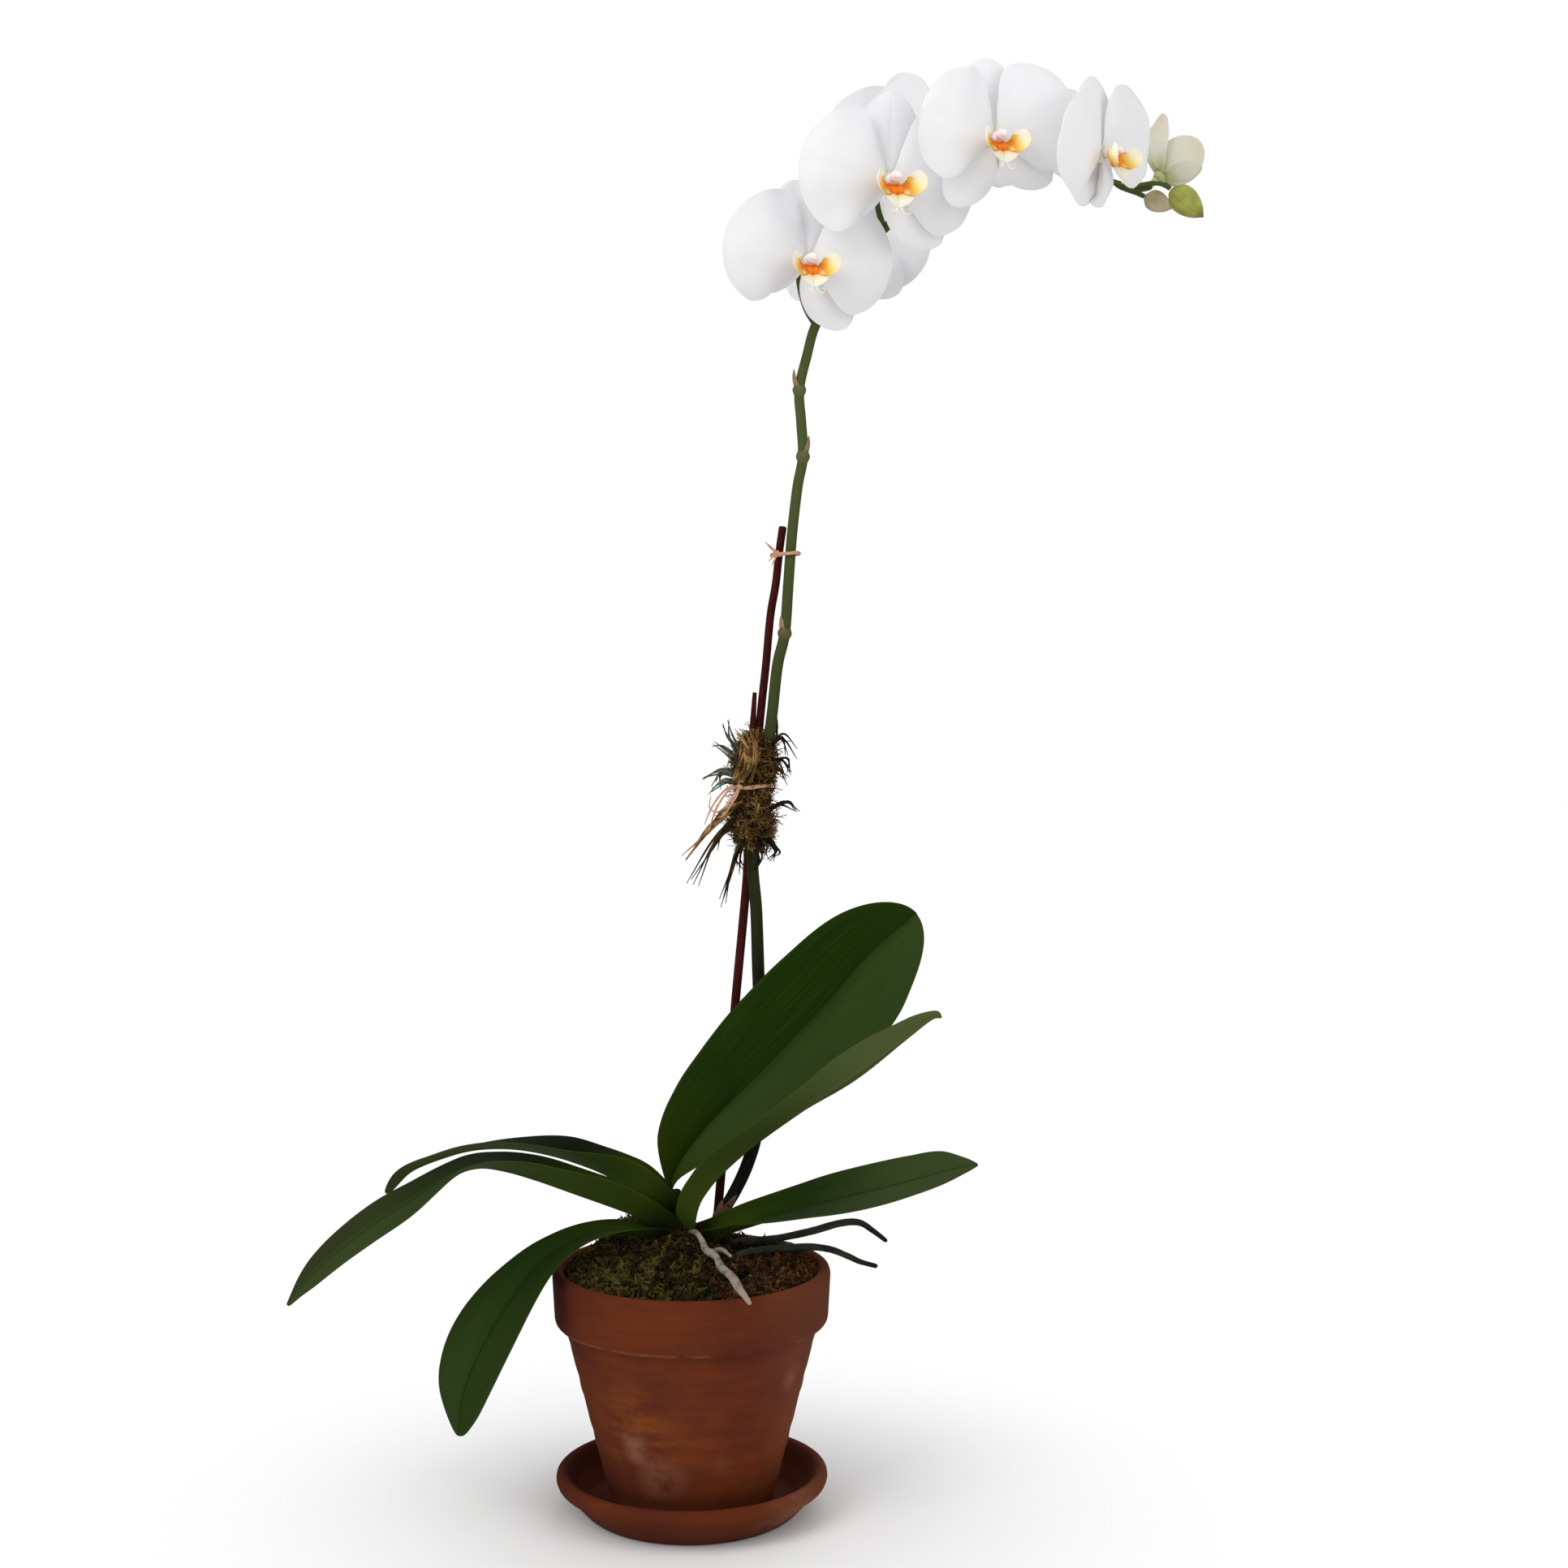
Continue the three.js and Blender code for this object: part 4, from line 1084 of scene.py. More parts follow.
@dataclass(frozen=True)
class Skin(Finish):
    """The smooth skin of a bud or of the crown, with soft ribs.

    Attributes:
        body: Its colour.
        shade: Colour of its shaded patches.
        tip: Colour at its tip.
        gloss: How strongly it reflects.
    """

    body: Colour = rgb(170, 172, 82)
    shade: Colour = rgb(128, 128, 54)
    tip: Colour = rgb(100, 82, 40)
    gloss: float = 0.2

    def paint(self, graph: Paint) -> None:
        """Builds the node graph.

        Args:
            graph: The empty graph.
        """
        length = graph.mark("along")
        patches = graph.noise(120, 4)
        graph.colour = graph.mix(patches.step(0.35, 0.7) * 0.7, self.body, self.shade)
        graph.lay(length.step(0.75, 1.0) * 0.8, self.tip)
        graph.lay((1 - length.step(0.0, 0.25)) * 0.6, self.shade)
        graph.finish(
            0.42, patches * 0.4 + graph.noise(600, 2) * 0.3, 0.0002,
            Specular_IOR_Level=self.gloss, Subsurface_Weight=0.12, Subsurface_Scale=0.002,
        )


# ---------- pieces ----------


def dressed(name: str, shell: Shell | bpy.types.Object, finish: Finish, node: str) -> bpy.types.Object:
    """Makes a piece that stands for a node of the frame.

    Args:
        name: The piece's name.
        shell: Its shell, or its finished object.
        finish: Its finish.
        node: The node that it stands for.

    Returns:
        The piece.
    """
    piece = shell.made(name) if isinstance(shell, Shell) else shell
    piece.data.materials.clear()
    piece.data.materials.append(finish.material())
    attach(piece, "root")
    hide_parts(node)
    log.info("%s: %d faces for %s", name, len(piece.data.polygons), node)
    return piece


@dataclass
class ClayWare:
    """The pot and its saucer.

    Attributes:
        foot: Height of the pot's foot.
        top: Top of its rim.
        rim: Outer radius of its collar.
        foot_radius: Outer radius of its foot.
        taper: How much its radius grows with each millimetre of height.
        collar: Lower edge of its collar.
        wall: Thickness of its wall.
        floor: Thickness of its floor.
        drain: Radius of its drain hole.
        saucer_rim: Outer radius of the saucer.
        saucer_top: Height of the saucer's lip.
        sides: Segments round both.
        clay: Finish of the pot.
        clay_saucer: Finish of the saucer.
    """

    foot: float = 6.3
    top: float = 139
    rim: float = 77.5
    foot_radius: float = 45
    taper: float = 0.253
    collar: float = 108
    wall: float = 7
    floor: float = 8
    drain: float = 7
    saucer_rim: float = 76
    saucer_top: float = 24.8
    sides: int = 160
    clay: Clay = Clay("clay_pot", "clay", chalk=(
        ((-0.029, -0.05, 0.05), 0.014), ((-0.016, -0.055, 0.032), 0.02), ((0.05, -0.03, 0.088), 0.014),
    ))
    clay_saucer: Clay = Clay(
        "clay_saucer", "clay", chalk=(((0.05, -0.04, 0.01), 0.03),), damp=(0.0, 0.012), dusk=0.3,
    )

    def body(self, height: float) -> float:
        """Returns the outer radius of the pot's tapered body at a height."""
        return self.foot_radius + self.taper * (height - self.foot)

    def pot(self) -> Shell:
        """Makes the pot with its throwing ridges.

        Returns:
            Its shell.
        """
        outside = [(self.foot_radius - 2, self.foot), (self.foot_radius, self.foot + 1.5)]
        heights = np.arange(self.foot + 5, self.collar - 6, 3.0)
        ridges = 0.16 * np.sin(heights * 1.7) + 0.12 * np.sin(heights * 0.61 + 1)
        outside += [(self.body(h) + ridge, h) for h, ridge in zip(heights, ridges)]
        outside += [
            (self.body(self.collar - 4), self.collar - 4), (self.rim - 2, self.collar + 1),
            (self.rim - 1.3, self.collar + 3), (self.rim - 0.7, self.collar + 14),
            (self.rim, self.top - 4), (self.rim - 0.9, self.top - 1), (self.rim - 3, self.top),
        ]
        bottom = self.foot + self.floor
        inside = [
            (self.rim - 5.6, self.top - 0.6), (self.rim - 7, self.top - 3),
            (self.rim - 7.6, self.collar), (self.body(self.collar - 12) - self.wall, self.collar - 12),
            (self.body(bottom + 4) - self.wall, bottom + 4), (self.body(bottom) - self.wall - 4, bottom),
            (self.drain, bottom), (self.drain, self.foot),
        ]
        return lathe(rounded([*outside, *inside], 1.2), self.sides, stray=0.15)

    def saucer(self) -> Shell:
        """Makes the saucer.

        Returns:
            Its shell.
        """
        profile = [
            (0, 0), (57, 0), (60.5, 2.5), (70.5, 13.5), (74.5, 15.5), (self.saucer_rim, 19),
            (self.saucer_rim - 0.4, 22.6), (73, self.saucer_top), (70, 24), (68, 21), (64, 13.5),
            (57.5, 7), (54, 6), (50, 5.8), (46.5, 6), (0, 6),
        ]
        return lathe(rounded(profile, 1.6, 5), self.sides, stray=0.12)

    def build(self) -> None:
        """Makes and dresses both."""
        dressed("clay_pot", self.pot(), self.clay, "pot")
        dressed("clay_saucer", self.saucer(), self.clay_saucer, "saucer")


class Scatter:
    """Spreads copies of small sprigs over a surface with Geometry Nodes."""

    def __init__(self, name: str, sprigs: Sequence[bpy.types.Object], finish: Finish) -> None:
        """Builds the node tree.

        Args:
            name: Name of the tree.
            sprigs: The small shapes, each grown along its own +Z.
            finish: Their finish.
        """
        self.tree = bpy.data.node_groups.new(name, "GeometryNodeTree")
        self.sprigs = bpy.data.collections.new(name + "_sprigs")
        for sprig in sprigs:
            self.sprigs.objects.link(sprig)
        ports = self.tree.interface
        kinds = {
            "Geometry": "Geometry", "Density": "Float", "Least Size": "Float", "Most Size": "Float",
            "Lean": "Float", "Seed": "Int",
        }
        for port, kind in kinds.items():
            ports.new_socket(name=port, socket_type="NodeSocket" + kind, in_out="INPUT")
        ports.new_socket(name="Geometry", socket_type="NodeSocketGeometry", in_out="OUTPUT")
        graph = Graph(self.tree)
        given = graph.node("NodeGroupInput").outputs
        spread = graph.node("GeometryNodeDistributePointsOnFaces", {}, {
            "Mesh": given["Geometry"], "Density": given["Density"], "Seed": given["Seed"],
        }).outputs
        low = graph.value("ShaderNodeCombineXYZ", {}, {0: -1.0, 1: -1.0, 2: -3.2})
        lean = graph.value("FunctionNodeRandomValue", {"data_type": "FLOAT_VECTOR"}, {
            "Min": low, "Max": (1.0, 1.0, 3.2), "Seed": given["Seed"],
        })
        leaning = graph.value("ShaderNodeCombineXYZ", {}, {0: given["Lean"], 1: given["Lean"], 2: 1.0})
        turned = graph.value("ShaderNodeVectorMath", {"operation": "MULTIPLY"}, {0: lean, 1: leaning})
        rotation = graph.value("FunctionNodeRotateRotation", {"rotation_space": "LOCAL"}, {
            0: spread["Rotation"], 1: turned,
        })
        size = graph.value("FunctionNodeRandomValue", {"data_type": "FLOAT"}, {
            2: given["Least Size"], 3: given["Most Size"], "Seed": given["Seed"],
        }, 1)
        pieces = graph.value("GeometryNodeCollectionInfo", {}, {
            "Collection": self.sprigs, "Separate Children": True, "Reset Children": True,
        })
        placed = graph.value("GeometryNodeInstanceOnPoints", {}, {
            "Points": spread["Points"], "Instance": pieces, "Pick Instance": True,
            "Rotation": rotation, "Scale": size,
        })
        real = graph.value("GeometryNodeRealizeInstances", {}, {0: placed})
        look = finish.material()
        painted = graph.value("GeometryNodeSetMaterial", {}, {"Geometry": real, "Material": look})
        graph.node("NodeGroupOutput", {}, {0: painted})

    def over(self, name: str, ground: bpy.types.Object, inputs: dict[str, Any]) -> bpy.types.Object:
        """Spreads the sprigs over a surface.

        Args:
            name: Name of the new object.
            ground: The surface.
            inputs: The values of the tree's named inputs.

        Returns:
            The sprigs as one plain mesh.
        """
        modifier = ground.modifiers.new(name, "NODES")
        modifier.node_group = self.tree
        for item in self.tree.interface.items_tree:
            if item.name in inputs:
                modifier[item.identifier] = inputs[item.name]
        evaluated = ground.evaluated_get(bpy.context.evaluated_depsgraph_get())
        mesh = bpy.data.meshes.new_from_object(evaluated)
        ground.modifiers.remove(modifier)
        mesh.name = name
        made = bpy.data.objects.new(name, mesh)
        bpy.context.scene.collection.objects.link(made)
        return made


def loose(shape: bpy.types.Object) -> bpy.types.Object:
    """Takes a small shape out of the scene, so that it shows only where it is scattered."""
    bpy.context.scene.collection.objects.unlink(shape)
    return shape


def joined(name: str, objects: Sequence[bpy.types.Object]) -> bpy.types.Object:
    """Joins mesh objects in the first one.

    Args:
        name: The joined object's name.
        objects: The objects.

    Returns:
        The joined object.
    """
    with bpy.context.temp_override(active_object=objects[0], selected_editable_objects=list(objects)):
        bpy.ops.object.join()
    objects[0].name = name
    return objects[0]


@dataclass
class MossCover:
    """The green moss over the potting mix.

    Attributes:
        underside: Height of its flat underside.
        edge: Height at the pot's rim.
        rise: How far it domes up.
        radius: Its radius.
        rings: Rings of its ground.
        sides: Segments round its ground.
        density: Sprigs for each square metre.
        mound: How far it is heaped round the crown.
        heap: How far it is heaped at the back left.
        moss: Its finish.
    """

    underside: float = 120.3
    edge: float = 136
    rise: float = 11
    radius: float = 69
    rings: int = 40
    sides: int = 120
    density: float = 340000
    mound: float = 13
    heap: float = 20
    moss: Fibre = Fibre("green_moss", "green_moss", stops=(
        (0.0, rgb(8, 8, 4)), (0.12, rgb(26, 26, 8)), (0.3, rgb(58, 56, 18)), (0.42, rgb(98, 86, 38)),
        (0.5, rgb(30, 22, 9)), (0.64, rgb(108, 72, 38)), (0.76, rgb(72, 34, 18)), (0.88, rgb(24, 14, 8)),
        (1.0, rgb(128, 98, 64)),
    ), patch=110, drift=1.6, painted_hollow_shade=0.8)

    def height(self, x: np.ndarray, y: np.ndarray) -> np.ndarray:
        """Reads the height of the ground: tufts, a heap at the back left and the mound.

        Args:
            x: Places to the right.
            y: Places to the back.

        Returns:
            The height at each place.
        """
        share = np.minimum(np.hypot(x, y) / self.radius, 1)
        tufts = 1.5 * np.sin(x / 4.1 + 1) * np.cos(y / 4.7) + 1.1 * np.sin(x / 7.3 - y / 5.9)
        tufts = tufts + self.heap * np.exp(-(((x + 42) / 20) ** 2 + ((y - 42) / 15) ** 2))
        mound = self.mound * np.exp(-(((x + 5) / 17) ** 2 + ((y + 4) / 14) ** 2))
        return self.edge + self.rise * (1 - share**2) + tufts * (1 - share**6) + mound

    def ground(self) -> tuple[Shell, Shell]:
        """Makes the tufted ground and its flat underside.

        Returns:
            The closed ground, and its top alone.
        """
        draw = np.random.default_rng(4)
        angle = circle(self.sides)
        share = np.linspace(1, 0, self.rings)
        x = self.radius * np.outer(share, np.cos(angle))
        y = self.radius * np.outer(share, np.sin(angle))
        z = self.height(x, y)
        z = z + draw.normal(0, 0.5, z.shape) * ((1 - share**8) * np.minimum(share / 0.05, 1))[:, None]
        top = np.stack([x, y, z], axis=-1)
        under = np.stack([x, y, np.full_like(z, self.underside)], axis=-1)[[-1, 0]]
        points = np.concatenate([under, top]).reshape(-1, 3)
        whole = Shell(points, ring_faces(2 + self.rings, self.sides, closed=True))
        skin = Shell(top.reshape(-1, 3), ring_faces(self.rings, self.sides))
        return whole.marked(shade=0.15), skin

    @staticmethod
    def sprig(index: int) -> bpy.types.Object:
        """Makes a small moss sprig of three curled leaflets.

        Args:
            index: Which of the sprigs it is.

        Returns:
            The sprig, grown along +Z.
        """
        draw = np.random.default_rng(30 + index)
        leaflets = []
        for turn in (0.0, 2.1, 4.2):
            out = draw.uniform(0.5, 1.9, 2).cumsum() * draw.choice([0.5, 0.8, 1.4])
            twist = turn + draw.uniform(-0.8, 0.8)
            rise = draw.uniform(0.6, 2.0)
            curl = twist + 0.9
            leaflets.append(thorn([
                (0, 0, -0.8), (out[0] * math.cos(twist), out[0] * math.sin(twist), rise),
                (out[1] * math.cos(curl), out[1] * math.sin(curl), rise * draw.uniform(0.6, 1.7)),
            ], draw.uniform(0.45, 1.0)))
        return loose(merged(leaflets).made(f"moss_sprig_{index}"))

    def build(self) -> None:
        """Makes and dresses the moss."""
        ground, skin = self.ground()
        top = skin.made("moss_skin")
        scatter = Scatter("moss_scatter", [self.sprig(index) for index in range(6)], self.moss)
        tufts = scatter.over("moss_tufts", top, {
            "Density": self.density * 1, "Least Size": 0.6, "Most Size": 1.6,
            "Lean": 1.1, "Seed": 3,
        })
        bpy.data.objects.remove(top)
        carpet = joined("moss_carpet", [ground.made("moss_ground"), tufts])
        dressed("moss_carpet", carpet, self.moss, "moss_cover")


@dataclass
class Foliage:
    """The crown and its six leaves.

    Attributes:
        thickness: Thickness of a leaf at its midrib.
        crown: The short stem that carries the leaves.
        green: Finish of the leaves.
        crown_green: Finish of the crown, whose near-black colours are painted shade.
        painted_light_and_shade: How much painted light pales and painted shade darkens the right half of
            each leaf, and how much painted sheen greys it towards its tip.
    """

    thickness: float = 2.2
    crown: Bar = Bar(
        ((-6, 0, 138), (-7, 0, 152), (-7, 0, 166), (-8, 0, 176), (-9, 0, 182)), (8, 8.5, 7.5, 5.5, 2.5),
        sides=28, rings=40, bumps=0.02,
    )
    green: Leaf = Leaf("leaf_green", "leaf_green")
    # painted shade: the crown's colours are near black, as it stands in the shade of the leaf bases
    crown_green: Skin = Skin(
        "crown_green", "crown_green", rgb(16, 24, 7), rgb(8, 13, 4), rgb(26, 38, 10), gloss=0.01,
    )
    painted_light_and_shade: dict[str, tuple[float, float, float]] = field(default_factory=lambda: {
        "leaf_upright": (0.45, 0.0, 0.0), "leaf_narrow": (0.1, 0.0, 0.75),
        "leaf_left_upper": (0.0, 0.9, 0.0), "leaf_left_long": (0.0, 0.85, 0.26),
        "leaf_left_low": (0.15, 0.0, 0.1), "leaf_right": (0.0, 0.0, 0.3),
    })

    def leaf(self, **shape: Any) -> Blade:
        """Shapes a leaf.

        Args:
            **shape: The fields of its blade that differ from leaf to leaf.

        Returns:
            The leaf's blade.
        """
        usual = {
            "profile": (0.3, 0.46, 0.68, 0.86, 0.97, 1, 0.97, 0.86, 0.68, 0.46),
            "thickness": self.thickness, "groove": 0.9, "wave": 0.5, "round_tip": 0.16, "crowd": 1.4,
            "rows": 96, "columns": 32,
        }
        return Blade(**{**usual, **shape})

    def leaves(self) -> dict[str, Blade]:
        """Shapes the six leaves.

        Returns:
            The blade of each leaf by the name of its node.
        """
        return {
            "leaf_upright": self.leaf(
                spine=((-11, 1, 158), (-13, 2, 174), (-11, 3, 188), (-4.5, 3.5, 200), (5, 4.5, 212),
                       (17, 6, 225.5), (30, 8, 238.5), (47, 10, 255.5), (75, 13, 285), (98, 12, 312),
                       (125, 7, 336)),
                facing=((0.6, -0.7, 0.3), (-0.1, -1, 0.1), (0, -1, 0.1), (0, -1, 0.1)),
                widths=(36, 38), lift=(60, 30, 13, 11, 11, 11), round_tip=0.38, seed=1,
                profile=(0.24, 0.1, 0.63, 0.8, 0.9, 0.98, 1, 1, 1, 1, 1),
                right=(0.6, 0.5, 0.5, 0.68, 0.82, 0.93, 1.03, 1.08, 1.08),
            ),
            "leaf_narrow": self.leaf(
                spine=((0, -9, 150), (1.5, -10.5, 163), (4, -14, 176), (9, -17, 185.5),
                       (17.5, -21, 196.5), (34, -27, 212.5), (60, -33, 232.5), (89, -36, 252.5),
                       (115, -36, 271.5), (131, -34, 283), (137, -33, 284)),
                facing=((-0.5, 0.85, 0.25), (-0.68, 0.42, 0.5), (-0.68, 0.58, 0.5), (-0.6, 0.6, 0.6)),
                widths=(13, 23), lift=(62, 44, 20, 15, 15, 15), round_tip=0.08, seed=2,
                profile=(0.5, 0.5, 0.52, 0.66, 0.68, 0.66, 0.72, 0.88, 0.8, 0.54, 0.26),
            ),
            "leaf_left_upper": self.leaf(
                spine=((-13, 2, 162), (-19, 3, 170.5), (-31, 9, 180), (-44, 16, 185), (-57.5, 24, 189.3),
                       (-80, 35, 194), (-103, 44, 196), (-125, 50, 194.4), (-144, 54.5, 189),
                       (-165, 58, 179.5), (-179, 60, 165)),
                facing=((0.8, 0, 0.6), (0.3, 0, 0.9), (0.1, 0, 1), (0, 0.16, 1), (-0.3, 0.2, 0.9),
                        (-0.6, 0.2, 0.75)),
                widths=(24, 21), lift=(66, 56, 30, 20, 10, 6, 6, 6), seed=3,
                profile=(0.6, 0.7, 0.84, 0.94, 1, 1, 0.96, 0.88, 0.76, 0.6),
            ),
            "leaf_left_long": self.leaf(
                spine=((-12, -3, 155), (-20.5, -6, 164), (-35, -13, 173), (-63.6, -28, 187.5),
                       (-83.6, -36, 196.7), (-99.6, -42, 202.8), (-113, -46, 205.2),
                       (-126, -49.5, 201.5), (-147, -54, 188), (-167.5, -56, 175.5),
                       (-188, -57, 160), (-204.5, -57, 144.6), (-214.5, -57, 132)),
                facing=((0.8, 0, 0.6), (0.35, 0.08, 0.92), (0.1, -0.02, 1), (-0.1, 0.04, 1),
                        (-0.55, -0.3, 0.75), (-0.62, -0.36, 0.62), (-0.62, -0.36, 0.62)),
                widths=(21.5, 19), lift=(66, 56, 44, 28, 10, 8, 7, 7, 7), round_tip=0.1, seed=4,
                profile=(0.55, 0.68, 0.84, 0.95, 1, 1, 0.98, 0.94, 0.86, 0.72, 0.42),
            ),
            "leaf_left_low": self.leaf(
                spine=((-13, -5, 156), (-50, -14, 160), (-74, -24, 152), (-93, -34, 134),
                       (-110, -42, 108), (-121, -46, 83), (-125, -46, 57)),
                facing=((0, 0.02, 1), (-0.85, -0.72, 0.1)), widths=(28, 28), lift=(45, 12, 8, 7, 7),
                profile=(0.3, 0.37, 0.46, 0.58, 0.75, 0.92, 1, 0.95, 0.76, 0.5), seed=5,
            ),
            "leaf_right": self.leaf(
                spine=((0, -1, 154), (16, -6, 158), (40, -12, 167), (67, -20, 177), (93, -26, 185),
                       (120, -30, 193), (140, -32, 199), (157, -33, 203)),
                facing=((-0.35, -0.1, 0.9), (-0.25, -0.2, 0.95)), widths=(27, 27),
                lift=(48, 20, 9, 7, 7), round_tip=0.04, seed=6,
                profile=(0.3, 0.46, 0.68, 0.88, 1, 1.05, 1.03, 0.95, 0.78, 0.2),
            ),
        }

    def build(self) -> None:
        """Makes and dresses the crown and the leaves."""
        dressed("crown_stem", self.crown.shell(), self.crown_green, "crown")
        for node, blade in self.leaves().items():
            # each leaf gets its painted light, painted shade and painted sheen
            glow, gloom, outer = self.painted_light_and_shade[node]
            shell = blade.shell().marked(glow=glow, gloom=gloom, outer=outer)
            dressed(node.replace("leaf", "green_leaf"), shell, self.green, node)


@dataclass
class AerialRoots:
    """The four aerial roots that creep over the moss.

    Attributes:
        silver: Finish of the two front roots.
        grey_green: Finish of the two right roots.
    """

    silver: Root = Root(
        "root_silver", "root_silver", rgb(150, 142, 130), rgb(100, 90, 76), rgb(156, 145, 128),
    )
    grey_green: Root = Root(
        "root_green", "root_green", rgb(52, 58, 46), rgb(34, 38, 28), rgb(30, 24, 20),
    )

    def roots(self) -> dict[str, tuple[Bar, Root]]:
        """Shapes the roots.

        Returns:
            The bar and the finish of each root by the name of its node.
        """
        return {
            "root_front": (Bar(
                ((-1, -9, 160), (3, -17, 161.5), (6.5, -24, 159), (9, -31, 155.5), (14.5, -41, 154.5),
                 (18, -51, 151), (24, -63, 148.8), (28, -73, 145.2), (31, -79, 143), (34, -84, 140)),
                (1.1, 1.5, 1.7, 2.1, 1.8, 2.3, 2.1, 2.4, 1.9, 1.1), sides=24, rings=170, bumps=0.07,
                dome=1.2, seed=11,
            ), self.silver),
            "root_front_short": (Bar(
                ((8, -13, 146), (13, -20, 152), (18, -30, 155), (23, -40, 154)),
                (1.2, 1.4, 1.3, 0.8), sides=20, rings=80, bumps=0.07, dome=1.2, seed=12,
            ), self.silver),
            "root_right_upper": (Bar(
                ((14, 2, 141), (24, 9, 148.5), (48, 16, 150), (67, 20, 153), (83, 22, 157),
                 (94, 22, 157.5), (102, 21, 153), (110, 20, 147)),
                (2.2, 2.3, 2.0, 2.2, 1.9, 1.3), sides=22, rings=130, bumps=0.04, dome=1.2, seed=13,
            ), self.grey_green),
            "root_right_lower": (Bar(
                ((18, -10, 140), (30, -6, 147), (60, 0, 149), (76, 2, 147.5), (87, 2, 143.5),
                 (94, 1, 140.5), (104, 0, 138)),
                (2, 2.2, 2, 2, 1.7, 1.3), sides=22, rings=130, bumps=0.04, dome=1.2, seed=14,
            ), self.grey_green),
        }

    def build(self) -> None:
        """Makes and dresses the roots."""
        for node, (bar, finish) in self.roots().items():
            dressed("aerial_" + node, bar.shell(), finish, node)


# ---------- flowers ----------


@dataclass(frozen=True)
class Stance:
    """Where a flower stands and which way it looks.

    Attributes:
        hub: Its centre.
        yaw: Turn of its face to the viewer's right, in degrees.
        pitch: How far it nods, in degrees.
        size: Its scale.
        stalk: Where its pedicel leaves the spike.
        lead: The direction in which the pedicel leaves.
        seat: Distance from the centre back to the end of its neck.
    """

    hub: Vec
    yaw: float
    pitch: float
    size: float
    stalk: Vec
    lead: Vec
    seat: float = 9

    @property
    def turn(self) -> np.ndarray:
        """Turns the flower's own Z to its face and its own Y up.

        Returns:
            The rotation as a 3 by 3 array.
        """
        yaw, tilt = math.radians(self.yaw), math.pi / 2 + math.radians(self.pitch)
        cos, sin = math.cos(yaw), math.sin(yaw)
        about_z = np.array([[cos, -sin, 0], [sin, cos, 0], [0, 0, 1]])
        cos, sin = math.cos(tilt), math.sin(tilt)
        about_x = np.array([[1, 0, 0], [0, cos, -sin], [0, sin, cos]])
        return about_z @ about_x

    def placed(self, shell: Shell) -> Shell:
        """Returns a shell of the flower's own frame in its place."""
        return shell.placed(self.turn, self.size, self.hub)

    def pedicel(self) -> Shell:
        """Makes the stalk from the spike to the flower.

        Returns:
            Its shell.
        """
        facing = self.turn[:, 2]
        end = np.array(self.hub) - facing * self.seat * self.size
        return stalk_bar(self.stalk, self.lead, end, facing, (1.9, 1.6, 1.5, 1.6, 2))


def stalk_bar(
    start: Vec, lead: Vec, end: np.ndarray, facing: np.ndarray, radii: tuple[float, ...]
) -> Shell:
    """Makes a stalk that leaves the spike along lead and ends square to its flower.

    Args:
        start: Where it leaves the spike.
        lead: The direction in which it leaves.
        end: Where its flower begins.
        facing: The direction in which the flower points.
        radii: Its radii from start to end.

    Returns:
        Its shell.
    """
    bend = 0.42  # the share of its way over which each end holds its direction
    square = 1.6  # how far its end runs straight
    first = np.array(start, float)
    seat = end - facing * GAP * 1.3
    reach = float(np.linalg.norm(seat - first)) * bend
    second, third = first + unit(np.array(lead, float)) * reach, seat - facing * reach
    f = np.linspace(0, 0.8, 5)[:, None]
    curve = (1 - f) ** 3 * first + 3 * f * (1 - f) ** 2 * second
    curve = curve + 3 * f * f * (1 - f) * third + f**3 * seat
    points = np.vstack([curve, seat - facing * square, seat])
    return Bar(tuple(map(tuple, points)), radii, sides=16, rings=44, bumps=0.02, dome=0.1).shell()


